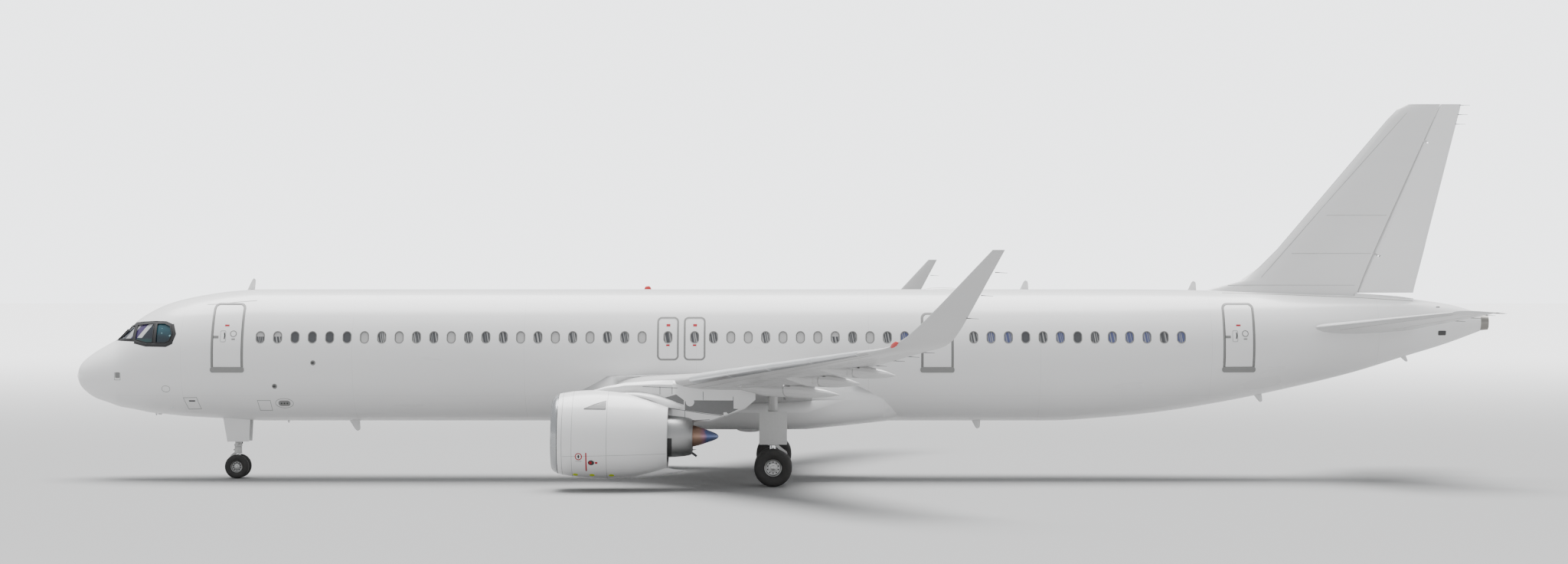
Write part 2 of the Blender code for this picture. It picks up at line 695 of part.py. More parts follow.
def canoe_rings(canoe, pivot, side):
    span, tip_x, tip_z, depth = canoe
    rings = []
    for fraction, rise, half_width, share in CANOE_SECTIONS:
        x = lerp(pivot.x, tip_x, fraction)
        z = lerp(pivot.z, tip_z, max(0, fraction)) + rise
        ring = []
        for u, v in arc(1, 15, 375, 12)[:-1]:
            ring.append((x, side * span + half_width * u, z + share * v * (CANOE_TOP if v > 0 else depth)))
        rings.append(ring)
    return rings


def make_canoe(word, number, canoe, axes, side):
    """One flap track fairing: the part fixed to the wing, with its ear, and the part on the flap."""
    centre = flap_pivot(canoe[0], side)
    name = "canoe_{}_{}_".format(number, word)
    rings = canoe_rings(canoe, centre, side)

    swept = CANOE_NOSE + CLEAR
    cove_angle = math.degrees(math.acos(-PIVOT_BACK / swept))
    clear_away = [(0, -1), (2, -1), (2, 1), (-PIVOT_BACK, 1)] + arc(swept, cove_angle, 270, 10)
    fixed = piece(name + "fixed", loft(bmesh.new(), rings))
    rear_space = piece(name + "rear_space", extrude_on(bmesh.new(), centre, axes, clear_away, 0.6))
    cut(fixed, rear_space)
    ear = [(-0.35, -LUG_RADIUS)] + arc(LUG_RADIUS, -90, 90, 6) + [(-0.35, LUG_RADIUS)]
    join(fixed, piece(name + "ear", extrude_on(bmesh.new(), centre, axes, ear, LUG_HALF)))

    shelf_angle = 180 - math.degrees(math.asin(CANOE_SHELF / CANOE_NOSE))
    kept = [(0, -1), (2, -1), (2, 1), (0, 1), (0, CANOE_SHELF)] + arc(CANOE_NOSE, shelf_angle, 270, 10)
    moving = piece(name + "moving", loft(bmesh.new(), rings))
    kept = piece(name + "kept", extrude_on(bmesh.new(), centre, axes, kept, 0.6))
    combine(moving, kept, "INTERSECT")
    slot_top = (CANOE_SHELF + PIVOT_DROP) / 2
    slot = [(-1, -1), (0.10, -1), (0.10, slot_top), (-1, slot_top)]
    slot = piece(name + "slot", extrude_on(bmesh.new(), centre, axes, slot, LUG_HALF + FIT))
    cut(moving, slot)
    return fixed, moving


def flap_nose(span):
    """Chord fraction of the flap's nose centre."""
    if span < OUTER_FLAP[0] - 0.05:
        return WING_FOIL.fraction(span, INNER_FLAP_X)
    return CONTROL_CHORD


def cove_x(span, nose):
    centre, radius = WING_FOIL.hinge(span, nose, RIGHT)
    return centre.x - radius - CLEAR


def make_wing(side, word):
    spans = [section[0] for section in WING]
    rings = [WING_FOIL.ring(span, side) for span in spans]
    wing = piece("wing_" + word, loft(bmesh.new(), rings), "grey_paint")

    inner_low, inner_high = INNER_FLAP[0] - CLEAR, OUTER_FLAP[0] - CLEAR
    outer_high = OUTER_FLAP[1] + CLEAR
    cove = min(cove_x(span, flap_nose(span)) for span in INNER_FLAP)
    far = 28
    outline = [
        (cove, inner_low), (cove, inner_high),
        (cove_x(inner_high, CONTROL_CHORD), inner_high), (cove_x(outer_high, CONTROL_CHORD), outer_high),
        (far, outer_high), (far, inner_low),
    ]
    space = prism_z(bmesh.new(), [(x, side * y) for x, y in outline], -3, 3)
    low, high = AILERON[0] - END_GAP, AILERON[1] + END_GAP
    outline = [(cove_x(span, CONTROL_CHORD), span) for span in (low, high)] + [(far, high), (far, low)]
    prism_z(space, [(x, side * y) for x, y in outline], -3, 3)
    cut(wing, piece("coves_" + word, space))

    make_spoiler(wing, side, word)

    x, y, half = MAIN_GEAR_X, side * MAIN_GEAR_Y, LEG_WELL_HALF
    leg = box(bmesh.new(), (x - half, y - half, -3), (x + half, y + half, MAIN_TOP_Z + FIT))
    cut(wing, piece("leg_well_" + word, leg))
    x, y = WING_JACK
    skin = WING_FOIL.flat_point(y, WING_FOIL.fraction(y, x), -1).y
    pad = rod(bmesh.new(), (x, side * y, skin + 0.1), (x, side * y, skin - JACK_PAD_DEPTH), JACK_PAD_RADIUS)
    join(wing, piece("jack_pad_" + word, pad))

    inner, middle, outer = [flap_pivot(canoe[0], side) for canoe in CANOES]
    inner_axes = hinge_axes(flap_pivot(INNER_FLAP[0], side), inner, (1, 0, 0))
    outer_axes = hinge_axes(middle, outer, (1, 0, 0))
    moving = []
    for number, (canoe, axes) in enumerate(zip(CANOES, (inner_axes, outer_axes, outer_axes)), 1):
        fixed, rear = make_canoe(word, number, canoe, axes, side)
        join(wing, fixed)
        moving.append(rear)

    rings = [WING_FOIL.rear_ring(span, flap_nose(span), side) for span in INNER_FLAP]
    flap = piece("flap_inner_" + word, loft(bmesh.new(), rings), "grey_composite", inner)
    join(flap, moving[0])
    rings = [WING_FOIL.rear_ring(span, CONTROL_CHORD, side) for span in OUTER_FLAP]
    flap = piece("flap_outer_" + word, loft(bmesh.new(), rings), "grey_composite", middle)
    join(flap, moving[1], moving[2])

    make_control(WING_FOIL, wing, "aileron_" + word, AILERON, CONTROL_CHORD, side, 0.022)
    make_winglet(side, word)
    return wing


def make_control(foil, parent, name, spans, nose, side, lug):
    """A hinged surface with two ears on its parent."""
    rings = [foil.rear_ring(span, nose, side) for span in spans]
    (start, first), (end, last) = [foil.hinge(span, nose, side) for span in spans]
    surface = piece(name, loft(bmesh.new(), rings), "grey_composite", start)
    axes = hinge_axes(start, end, (1, 0, 0))
    places = [start.lerp(end, t) for t in (0.2, 0.8)]
    ears, slots = hinge_lugs(name, places, axes, lug, lug * 1.6 + CLEAR, max(first, last) + CLEAR + 0.05)
    join(parent, ears)
    cut(surface, slots)
    return surface


def make_spoiler(wing, side, word):
    low, high, front, rear = SPOILER
    steps = (front, lerp(front, rear, 0.5), rear)

    def slab(spans, fractions, above, below, fore_gap, aft_gap):
        rings = []
        for span in spans:
            top = [WING_FOIL.flat_point(span, f, 1) for f in fractions]
            top[0].x -= fore_gap
            top[-1].x += aft_gap
            ring = [(p.x, p.y + above) for p in top] + [(p.x, p.y - below) for p in reversed(top)]
            rings.append([WING_FOIL.to_space(span, flat, side) for flat in ring])
        return rings

    recess = slab((low - CLEAR, high + CLEAR), steps, 0.3, SPOILER_SKIN + CLEAR, FIT, CLEAR)
    cut(wing, piece("spoiler_recess_" + word, loft(bmesh.new(), recess)))
    panel = slab((low, high), steps, 0, SPOILER_SKIN, 0, 0)
    pivot = WING_FOIL.point(low, front, 1, side)
    piece("spoiler_" + word, loft(bmesh.new(), panel), "grey_composite", pivot)


def make_winglet(side, word):
    root_span = WING[-1][0]
    rings = [[(x, y + side * FIT, z) for x, y, z in WING_FOIL.ring(root_span, side)]]
    for span, lead_x, lead_z, trail_x, trail_z, lean in WINGLET:
        chord = math.hypot(trail_x - lead_x, trail_z - lead_z)
        out = Vector((0, -side * math.sin(math.radians(lean)), math.cos(math.radians(lean))))
        lead, trail = Vector((lead_x, side * span, lead_z)), Vector((trail_x, side * span, trail_z))
        ring = [lead.lerp(trail, f) + out * chord * half_thickness(f, WINGLET_RATIO) for f in CHORD_STEPS]
        ring += [lead]
        below = [lead.lerp(trail, f) - out * chord * half_thickness(f, WINGLET_RATIO) for f in CHORD_STEPS]
        ring += below[::-1]
        rings.append(ring)
    piece("winglet_" + word, loft(bmesh.new(), rings), "grey_composite")


def make_tail():
    x, z = TAIL_PIVOT
    tailplane = bmesh.new()
    rod(tailplane, (x, -TAIL_TUBE_HALF, z), (x, TAIL_TUBE_HALF, z), TAIL_TUBE, 24)
    tailplane = piece("tailplane", tailplane, "grey_composite", (x, 0, z))
    for side, word in SIDES:
        half = piece("tail_half_" + word, loft(bmesh.new(), [TAIL_FOIL.ring(s[0], side) for s in TAILPLANE]))
        (front, front_y), (rear, rear_y) = TAIL_RIB
        rib = [(front, 0), (front, front_y), (rear, rear_y), (rear, 0)]
        root = prism_z(bmesh.new(), [(px, side * py) for px, py in rib], -1, 3)
        low, high = ELEVATOR[0] - END_GAP, ELEVATOR[1] + END_GAP
        coves = []
        for span in (low, high):
            centre, radius = TAIL_FOIL.hinge(span, ELEVATOR_CHORD, side)
            coves.append(centre.x - radius - CLEAR)
        outline = [(coves[0], low), (coves[1], high), (45, high), (45, low)]
        space = prism_z(bmesh.new(), [(px, side * py) for px, py in outline], -1, 3)
        cut(half, piece("tail_root_" + word, root), piece("elevator_space_" + word, space))
        make_control(TAIL_FOIL, half, "elevator_" + word, ELEVATOR, ELEVATOR_CHORD, side, 0.03)
        join(tailplane, half)

    near_skin = fuselage_shape("skin_clearance", -FIT)
    fin = piece("fin", loft(bmesh.new(), [FIN_FOIL.ring(s[0], RIGHT) for s in FIN]), "white_composite")
    (low_x, low_z), (high_x, high_z) = RUDDER_HINGE
    heights = [RUDDER_BOTTOM] + [s[0] for s in FIN if s[0] > RUDDER_BOTTOM]
    rings, wall, hinges = [], [], []
    for height in heights:
        hinge_x = lerp(low_x, high_x, (height - low_z) / (high_z - low_z))
        nose = FIN_FOIL.fraction(height, hinge_x)
        rings.append(FIN_FOIL.rear_ring(height, nose, RIGHT))
        centre, radius = FIN_FOIL.hinge(height, nose, RIGHT)
        hinges.append(centre)
        wall.append((centre.x - radius - CLEAR, height))
    wall.insert(0, (wall[0][0], RUDDER_BOTTOM - 1))
    space = piece("rudder_space", prism_y(bmesh.new(), wall + [(46, 9), (46, 1)], -2, 2))
    cut(fin, near_skin, space)
    start, end = hinges[0], hinges[-1]
    rudder = piece("rudder", loft(bmesh.new(), rings), "white_composite", start)
    axes = hinge_axes(start, end, (1, 0, 0))
    places = [start.lerp(end, t) for t in (0.2, 0.8)]
    ears, slots = hinge_lugs("rudder", places, axes, 0.04, 0.10, 0.30, 0.03)
    join(fin, ears)
    cut(rudder, slots)


def make_belly():
    rings = []
    for x, half_width, bottom in BELLY:
        ring = [(x, half_width * 0.62, -0.32)]
        ring += [(x, half_width * 0.93, -0.62), (x, half_width, -1.10)]
        for u, v in arc(1, 0, -90, 5):
            ring.append((x, half_width * abs(u) ** 0.62, -1.35 + (bottom + 1.35) * abs(v) ** 0.8))
        ring += [(px, -py, pz) for px, py, pz in reversed(ring[:-1])]
        rings.append(ring)
    belly = piece("belly_fairing", loft(bmesh.new(), rings), "white_composite")
    x, half_length, half_width, depth = BELLY_BLISTER
    shape = Matrix.Diagonal((half_length, half_width, depth, 1))
    blister = bmesh.new()
    place = Matrix.Translation((x, 0, BELLY[4][2] + 0.005)) @ shape
    bmesh.ops.create_uvsphere(blister, u_segments=16, v_segments=8, radius=1, matrix=place)
    join(belly, piece("belly_blister", blister))
    cut(belly, bpy.data.objects["skin_clearance"])
    roots = bmesh.new()
    for side, word in SIDES:
        loft(roots, [WING_FOIL.ring(span, side, 5 * FIT) for span in (WING[0][0] - FIT, WING[1][0])])
    cut(belly, piece("root_pockets", roots))


def cowl_fairings(middle):
    """The keel under a cowl and the two shoulders on it beside the pylon."""
    bm = bmesh.new()
    rings = []
    for x, top, bottom, half in KEEL:
        low = lerp(top, bottom, 0.6)
        ring = [(x, middle + half, top), (x, middle + half, low), (x, middle + half * 0.55, bottom),
                (x, middle - half * 0.55, bottom), (x, middle - half, low), (x, middle - half, top)]
        rings.append(ring)
    loft(bm, rings)
    for face in (LEFT, RIGHT):
        rings = []
        for x, top, bottom, outside in SHOULDER:
            across = [SHOULDER_INSIDE, lerp(SHOULDER_INSIDE, outside, 0.4), outside, outside, SHOULDER_INSIDE]
            heights = [top, top, lerp(bottom, top, 0.35), bottom, bottom]
            rings.append([(x, middle + face * y, z) for y, z in zip(across, heights)])
        loft(bm, rings)
    return bm


def make_engine(side, word):
    x, y, z = ENGINE
    middle = (x, side * y, z)
    turn = (0, math.radians(90 + ENGINE_TILT), 0)
    sides = NACELLE_SIDES
    turned("inlet_lip_" + word, LIP_PROFILE, "bare_metal", middle, turn, sides)
    outside = [(r, t + (FIT if i == 0 else 0)) for i, (r, t) in enumerate(COWL_OUTSIDE)]
    inside = [(r, t + (FIT if t == LIP_JOINT else 0)) for r, t in COWL_INSIDE]
    cowl = turned("cowl_" + word, outside[::-1] + inside[::-1], "white_composite", middle, turn, sides)
    join(cowl, piece("cowl_fairings_" + word, cowl_fairings(side * y)))
    core = turned("engine_core_" + word, CORE_PROFILE[::-1], "dark_metal", middle, turn, 24)
    plug = [(r, t + FIT) for r, t in PLUG_PROFILE]
    turned("exhaust_plug_" + word, plug[::-1], "hot_metal", middle, turn, 24)

    fan_bore = (SHAFT_RADIUS + FIT) / math.cos(math.pi / 24)
    profile = [(fan_bore if r == 0.15 else r, t) for r, t in FAN_PROFILE] + [(0.0, 0.80)]
    fan = turned("fan_" + word, profile[::-1], "dark_metal", middle, turn, 24)
    place = Matrix.Translation(middle) @ Matrix.Rotation(turn[1], 4, "Y")
    blades, vanes = bmesh.new(), bmesh.new()
    for number in range(FAN_BLADES):
        base = 2 * math.pi * number / FAN_BLADES
        rings = []
        for radius, chord, stagger, half in BLADE:
            tilt = math.radians(stagger)
            ring = []
            for u, v in ((-0.5, 0), (0, 1), (0.5, 0), (0, -1)):
                along = FAN_MIDDLE + u * chord * math.cos(tilt) - v * half * math.sin(tilt)
                round_ = u * chord * math.sin(tilt) + v * half * math.cos(tilt)
                angle = base + round_ / radius
                ring.append(place @ Vector((radius * math.cos(angle), radius * math.sin(angle), along)))
            rings.append(ring)
        loft(blades, rings)
    join(fan, piece("fan_blades_" + word, blades))
    for number in range(VANES):
        angle = 2 * math.pi * (number + 0.5) / VANES
        out = Vector((math.cos(angle), math.sin(angle), 0))
        across = Vector((-math.sin(angle), math.cos(angle), 0))
        rings = []
        for radius in (VANE_RADII[0], VANE_RADII[1] * math.cos(math.pi / sides)):
            foot = out * radius
            ring = [place @ (foot + across * half + Vector((0, 0, t))) for t, half in VANE_SECTION]
            rings.append(ring)
        loft(vanes, rings)
    join(core, piece("vanes_" + word, vanes))

    pylon_rings = []
    for px, top, bottom, half in PYLON:
        ring = []
        for u, v in ((-1, -0.9), (-0.5, -1), (0.5, -1), (1, -0.9), (1, 0.8), (0.5, 1), (-0.5, 1), (-1, 0.8)):
            ring.append((px, side * y + half * u, lerp(bottom, top, (v + 1) / 2)))
        pylon_rings.append(ring)
    pylon = piece("pylon_" + word, loft(bmesh.new(), pylon_rings), "white_composite")
    wing_space = [WING_FOIL.ring(span, side, FIT) for span in (WING[0][0], WING[1][0])]
    shell = grown([(0, LIP_JOINT)] + list(COWL_OUTSIDE) + [(0, COWL_OUTSIDE[-1][1])], FIT)
    shell = [(0.0, shell[0][1])] + shell[1:-1] + [(0.0, shell[-1][1])]
    core_space = [(r + 2 * FIT, t) for r, t in CORE_PROFILE[5:9]]
    core_space = [(0.0, 1.4)] + core_space + [(0.0, 4.18)]
    cut(pylon, piece("wing_over_pylon_" + word, loft(bmesh.new(), wing_space)))
    cut(pylon, turned("cowl_space_" + word, shell[::-1], None, middle, turn, sides))
    cut(pylon, turned("core_space_" + word, core_space[::-1], None, middle, turn, 24))


def wheel_profile(radius, bead, width):
    half = width / 2
    upper = ((bead, half * 0.72), (radius * 0.72, half), (radius * 0.93, half * 0.86), (radius, half * 0.45))
    return upper + tuple((r, -t) for r, t in reversed(upper))


def make_wheels(name, centre, tyre, axle, barrel):
    """Two tyres on one axle with its hubs, which turn together."""
    radius, bead, width, offset = tyre
    turn = (math.radians(-90), 0, 0)
    hub, half = bead * math.cos(math.pi / TYRE_SIDES) - FIT, width / 2
    outer, inner, web = offset + half * 0.70, offset - half * 0.70, 0.06
    profile = [(0.0, outer - web / 2), (axle * 1.7, outer - web / 2), (hub * 0.85, outer - web), (hub, outer),
               (hub, inner), (axle * 1.7, barrel + CLEAR), (axle, barrel + CLEAR)]
    profile = profile + [(r, -t) for r, t in reversed(profile)]
    turned(name + "_hubs", profile, "bare_metal", centre, turn, HUB_SIDES)
    for side, word in SIDES:
        place = (centre[0], centre[1] + side * offset, centre[2])
        outline = wheel_profile(radius, bead, width)
        turned("{}_tyre_{}".format(name, word), outline, "tyre_rubber", place, turn, TYRE_SIDES)


def axle_bore(centre, axle, half):
    radius = (axle + FIT) / math.cos(math.pi / HUB_SIDES)
    x, y, z = centre
    bore = rod(bmesh.new(), (x, y - half, z), (x, y + half, z), radius, HUB_SIDES)
    half_step = Matrix.Rotation(math.pi / HUB_SIDES, 3, "Y")
    bmesh.ops.rotate(bore, cent=centre, matrix=half_step, verts=bore.verts)
    return bore


def torque_links(top, low_z, reach, half):
    """A pair of links, bent like a knee, from beside the strut's top down to the axle."""
    x, y, z = top
    knee_z = (z + low_z) / 2
    thick = 0.05
    outline = [(x, z), (x + reach, knee_z + thick), (x + reach, knee_z - thick), (x, low_z),
               (x, low_z + 2 * thick), (x + reach * 0.78, knee_z), (x, z - 2 * thick)]
    return prism_y(bmesh.new(), outline, y - half, y + half)


def make_nose_gear():
    x = NOSE_GEAR_X
    bay_front, bay_rear, bay_half, bay_roof = NOSE_BAY
    leg = rod(bmesh.new(), (x, 0, bay_roof - FIT), (x, 0, NOSE_COLLAR_Z), NOSE_LEG)
    leg = piece("nose_leg", leg, "gear_paint", (x, 0, NOSE_COLLAR_Z))
    brace = rod(bmesh.new(), (bay_front + 0.12, 0, bay_roof - 0.06), (x - 0.02, 0, -2.45), NOSE_BRACE, 10)
    join(leg, piece("nose_brace", brace))

    z, barrel = NOSE_AXLE_Z, NOSE_BARREL
    centre = (x, 0, z)
    collar_bottom = NOSE_COLLAR_Z - NOSE_COLLAR_DEPTH
    fork = rod(bmesh.new(), (x, 0, NOSE_COLLAR_Z - FIT), (x, 0, collar_bottom), NOSE_COLLAR)
    fork = piece("nose_fork", fork, "gear_paint", (x, 0, NOSE_COLLAR_Z))
    strut = rod(bmesh.new(), (x, 0, NOSE_COLLAR_Z - 0.1), (x, 0, z), NOSE_STRUT)
    housing = rod(bmesh.new(), (x, -barrel, z), (x, barrel, z), NOSE_HOUSING, 20)
    links = torque_links((x, 0, NOSE_COLLAR_Z - 0.06), z + 0.04, -0.24, 0.035)
    join(fork, piece("nose_strut", strut), piece("nose_axle_housing", housing), piece("nose_links", links))
    cut(fork, piece("nose_axle_bore", axle_bore(centre, NOSE_AXLE, barrel + 0.1)))
    make_wheels("nose_wheel", centre, NOSE_TYRE, NOSE_AXLE, barrel)

    hinge_z, low_z = NOSE_DOOR
    outline = [(bay_front + 0.02, hinge_z), (bay_rear - 0.02, hinge_z),
               (bay_rear - 0.06, low_z), (bay_front + 0.16, low_z)]
    outside = bay_half - FIT
    for side, word in SIDES:
        low, high = sorted((side * outside, side * (outside - NOSE_DOOR_SKIN)))
        piece("nose_gear_door_" + word, prism_y(bmesh.new(), outline, low, high), "white_composite")


def make_main_gear(side, word):
    x, y, z = MAIN_GEAR_X, side * MAIN_GEAR_Y, MAIN_AXLE_Z
    barrel, leg_bottom = MAIN_BARREL, MAIN_LEG_BOTTOM
    centre = (x, y, z)
    leg = rod(bmesh.new(), (x, y, MAIN_TOP_Z), (x, y, leg_bottom), MAIN_LEG)
    leg = piece("main_leg_" + word, leg, "gear_paint", (x, y, MAIN_TOP_Z))
    strut = rod(bmesh.new(), (x, y, leg_bottom + 0.12), (x, y, z), MAIN_STRUT)
    housing = rod(bmesh.new(), (x, y - barrel, z), (x, y + barrel, z), MAIN_HOUSING, 20)
    (foot_in, foot_z), (top_in, top_z) = STAY_FOOT, STAY_TOP
    stay = rod(bmesh.new(), (x, y - side * foot_in, foot_z), (x, y - side * top_in, top_z), MAIN_STAY, 10)
    half, inside, outside, low, high = LEG_DOOR
    door = box(bmesh.new(), (x - half, y + side * inside, low), (x + half, y + side * outside, high))
    brackets = bmesh.new()
    reach, half = y + side * (inside + 0.01), BRACKET_HALF
    for low, high in DOOR_BRACKETS:
        box(brackets, (x - half, y, low), (x + half, reach, high))
    links = torque_links((x, y, leg_bottom + 0.1), z + 0.02, 0.42, LINK_HALF)
    tools = [piece(label + "_" + word, shape) for label, shape in (
        ("main_strut", strut), ("main_axle_housing", housing), ("main_links", links), ("side_stay", stay),
        ("leg_door", door), ("leg_door_brackets", brackets))]
    join(leg, *tools)
    cut(leg, piece("main_axle_bore_" + word, axle_bore(centre, MAIN_AXLE, barrel + 0.1)))
    make_wheels("main_wheel_" + word, centre, MAIN_TYRE, MAIN_AXLE, barrel)


def merge_flat_faces():
    """Let each cut piece keep one face where its cuts left several in one plane."""
    for obj in AIRLINER.objects:
        if any(modifier.type == "BOOLEAN" for modifier in obj.modifiers):
            flat = obj.modifiers.new("flat", "DECIMATE")
            flat.decimate_type = "DISSOLVE"
            flat.angle_limit = math.radians(FLAT_ANGLE)


make_fuselage()
make_tail()
make_belly()
for wing_side, wing_word in SIDES:
    make_wing(wing_side, wing_word)
    make_engine(wing_side, wing_word)
    make_main_gear(wing_side, wing_word)
make_nose_gear()
merge_flat_faces()
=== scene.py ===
"""Finish of a half-size model of a twin-engine airliner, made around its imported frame.

Sizes are in metres on the full-size aircraft, as in the drawing of its frame: X runs aft from the nose
tip, Y to the aircraft's right and Z up from the fuselage's mid-height. TO_MODEL brings each finished
mesh to the frame's own metres.
"""
import json
import math

import bmesh
import bpy
import numpy as np
from mathutils import Matrix, Vector

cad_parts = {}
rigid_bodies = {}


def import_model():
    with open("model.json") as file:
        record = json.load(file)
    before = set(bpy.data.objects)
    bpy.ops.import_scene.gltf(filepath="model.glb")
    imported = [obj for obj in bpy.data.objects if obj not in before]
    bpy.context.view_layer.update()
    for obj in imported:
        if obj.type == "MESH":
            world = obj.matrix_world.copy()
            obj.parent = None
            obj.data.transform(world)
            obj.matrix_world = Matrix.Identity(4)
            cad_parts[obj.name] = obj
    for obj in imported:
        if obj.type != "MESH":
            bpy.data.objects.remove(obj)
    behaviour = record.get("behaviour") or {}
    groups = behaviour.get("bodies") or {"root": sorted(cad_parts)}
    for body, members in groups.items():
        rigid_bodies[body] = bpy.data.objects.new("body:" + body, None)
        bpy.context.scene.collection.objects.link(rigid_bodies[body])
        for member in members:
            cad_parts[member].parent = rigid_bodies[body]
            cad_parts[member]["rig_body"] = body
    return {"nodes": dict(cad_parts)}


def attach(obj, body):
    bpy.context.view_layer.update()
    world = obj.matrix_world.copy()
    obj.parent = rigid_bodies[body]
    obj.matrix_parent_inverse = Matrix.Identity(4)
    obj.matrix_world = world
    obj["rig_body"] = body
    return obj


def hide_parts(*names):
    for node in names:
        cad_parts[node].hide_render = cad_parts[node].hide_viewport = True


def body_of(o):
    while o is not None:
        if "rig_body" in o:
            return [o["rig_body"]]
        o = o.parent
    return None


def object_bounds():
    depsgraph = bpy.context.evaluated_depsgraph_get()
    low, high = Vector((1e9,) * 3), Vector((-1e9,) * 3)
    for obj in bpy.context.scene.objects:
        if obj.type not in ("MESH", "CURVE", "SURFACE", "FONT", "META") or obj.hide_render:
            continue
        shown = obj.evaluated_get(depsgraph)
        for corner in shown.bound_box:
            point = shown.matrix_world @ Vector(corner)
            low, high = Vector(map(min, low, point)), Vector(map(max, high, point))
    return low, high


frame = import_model()
CAD_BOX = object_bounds()

MODEL_SCALE = 0.5
GROUND = -3.88
TO_MODEL = (Matrix.Translation((CAD_BOX[0].x, 0, 0)) @ Matrix.Scale(MODEL_SCALE, 4)
            @ Matrix.Translation((0, 0, -GROUND)))
LEFT, RIGHT = -1, 1
SIDES = ((LEFT, "left"), (RIGHT, "right"))
FIT = 0.0008
CLEAR = 0.016

# Fuselage sections: x, top, bottom, half width
FUSELAGE = (
    (0.00, -0.60, -0.70, 0.05), (0.12, -0.30, -0.97, 0.36), (0.30, -0.11, -1.16, 0.60),
    (0.60, 0.11, -1.36, 0.84), (1.00, 0.34, -1.50, 1.08), (1.41, 0.58, -1.64, 1.28),
    (1.70, 0.87, -1.69, 1.39), (2.00, 1.14, -1.75, 1.49), (2.35, 1.36, -1.82, 1.59),
    (2.86, 1.60, -1.87, 1.72), (3.44, 1.77, -1.93, 1.82), (4.10, 1.90, -1.97, 1.90),
    (4.89, 2.01, -2.01, 1.95), (5.90, 2.07, -2.07, 1.975), (30.60, 2.07, -2.07, 1.975),
    (32.40, 2.07, -1.97, 1.955), (34.30, 2.06, -1.77, 1.87), (36.20, 2.02, -1.46, 1.70),
    (38.40, 1.94, -1.00, 1.40), (40.20, 1.88, -0.56, 1.09), (41.80, 1.79, -0.07, 0.80),
    (43.20, 1.61, 0.36, 0.51), (44.25, 1.33, 0.75, 0.27),
)
SKIN_SIDES = 96
RING_PITCH = 0.54
DOOR_SKIN = 0.08
DOOR_TOP, MID_DOOR_TOP, DOOR_SILL, DOOR_CORNER = 1.58, 1.28, -0.44, 0.12
# Passenger doors: name, front x, rear x, top
DOORS = (("door_front", 4.62, 5.48, DOOR_TOP), ("door_mid", 26.62, 27.48, MID_DOOR_TOP),
         ("door_rear", 36.01, 36.87, DOOR_TOP))
CARGO_DOORS = (("cargo_door_front", 8.20, 10.00), ("cargo_door_rear", 29.20, 31.00))
CARGO_TOP, CARGO_SILL = -0.35, -1.50

# Rows of cabin windows: first x, pitch, how each one looks from the front to the rear:
# p shade down, h shade half down, d dark with the cabin's painted shade, s streaked with painted light, b blue
WINDOW_ROWS = (
    (6.08, 0.5375, "hhddddpspsspssspspspssp"),
    (20.115, 0.5386, "sppsppphspsb"),
    (28.175, 0.5370, "sbbdsbdsbbbsb"),
)
EXITS = (18.705, 19.532)
WINDOW_Z = 0.59
WINDOW_SIZE = (0.27, 0.385)       # width and height over the rim
WINDOW_DEPTH = 0.045

PORTHOLES, PORTHOLE_Z = [((front + rear) / 2 + 0.19, "h") for name, front, rear, top in DOORS], 0.70

# Aerials on the centre line: front x, side of the fuselage (1 top, -1 bottom), root chord, height, sweep
AERIALS = (
    (5.33, 1, 0.26, 0.37, 0.20), (29.72, 1, 0.30, 0.28, 0.16), (35.02, 1, 0.30, 0.28, 0.16),
    (8.55, -1, 0.36, 0.32, 0.24), (28.20, -1, 0.30, 0.25, 0.16), (37.10, -1, 0.28, 0.20, 0.20),
    (2.42, -1, 0.10, 0.08, 0.05), (6.60, -1, 0.10, 0.07, 0.05), (41.72, -1, 0.22, 0.12, 0.20),
)
FIN_FOOT = ((40.30, 1.95, 0.16), (41.00, 1.905, 0.14), (41.60, 1.86, 0.11), (42.17, 1.79, 0.03))
DOME = (27.30, 0.62, 0.20, 0.09)          # middle x, half length, half width, height
NOSE_JACK_X = 2.60
APU_Z = 1.03
APU_PROFILE = ((0.0, 0.0), (0.26, 0.0), (0.235, 0.258), (0.19, 0.258), (0.17, 0.08), (0.0, 0.08))
TIP_WICKS = ((27.05, 17.58, 1.36), (27.42, 17.68, 1.95), (27.78, 17.79, 2.55))
SLATS = ((6.75, 8.95), (8.98, 11.15), (11.18, 13.40), (13.43, 15.75))

# Small things on the fuselage's sides, seen from the side
# Seam lines: one above the front door, and one where the fin's fillet meets the fuselage, a joint line that also stands
# for the painted shade along that joint.
SKIN_SEAMS_AND_SHADE_LINE = (
    ((4.30, 1.60), (4.75, 1.61), (5.30, 1.68), (5.85, 1.72)),
    ((36.07, 1.96), (38.0, 1.90), (40.2, 1.82), (42.1, 1.70)),
)
NOSE_PANELS = (
    ((3.60, -1.30), (4.02, -1.29), (4.10, -1.66), (3.70, -1.67)),
    ((5.92, -1.38), (6.32, -1.38), (6.34, -1.70), (5.96, -1.70)),
    ((1.43, -0.53), (1.62, -0.53), (1.62, -0.75), (1.43, -0.75)),
)
DARK_PLATES = ((3.86, -1.40, 0.20, 0.04), (42.97, 0.70, 0.26, 0.15), (42.87, 1.51, 0.12, 0.03))
DRAIN_PANEL = (6.75, -1.47, 0.37, 0.17)
GREY_PLATES = ((1.53, -0.60, 0.15, 0.18),)
VENTS = ((7.72, -0.20, 0.16), (6.50, -0.93, 0.16))
OVALS = ((3.08, -1.02, 0.26, 0.20), (6.75, -1.47, 0.56, 0.30))

GLASS_BAND = (
    (1.30, 0.46), (1.80, 1.02), (2.30, 1.07), (2.72, 1.09), (3.06, 1.08), (3.27, 1.00),
    (3.37, 0.70), (3.27, 0.42), (3.10, 0.34), (2.45, 0.35), (2.04, 0.44),
)
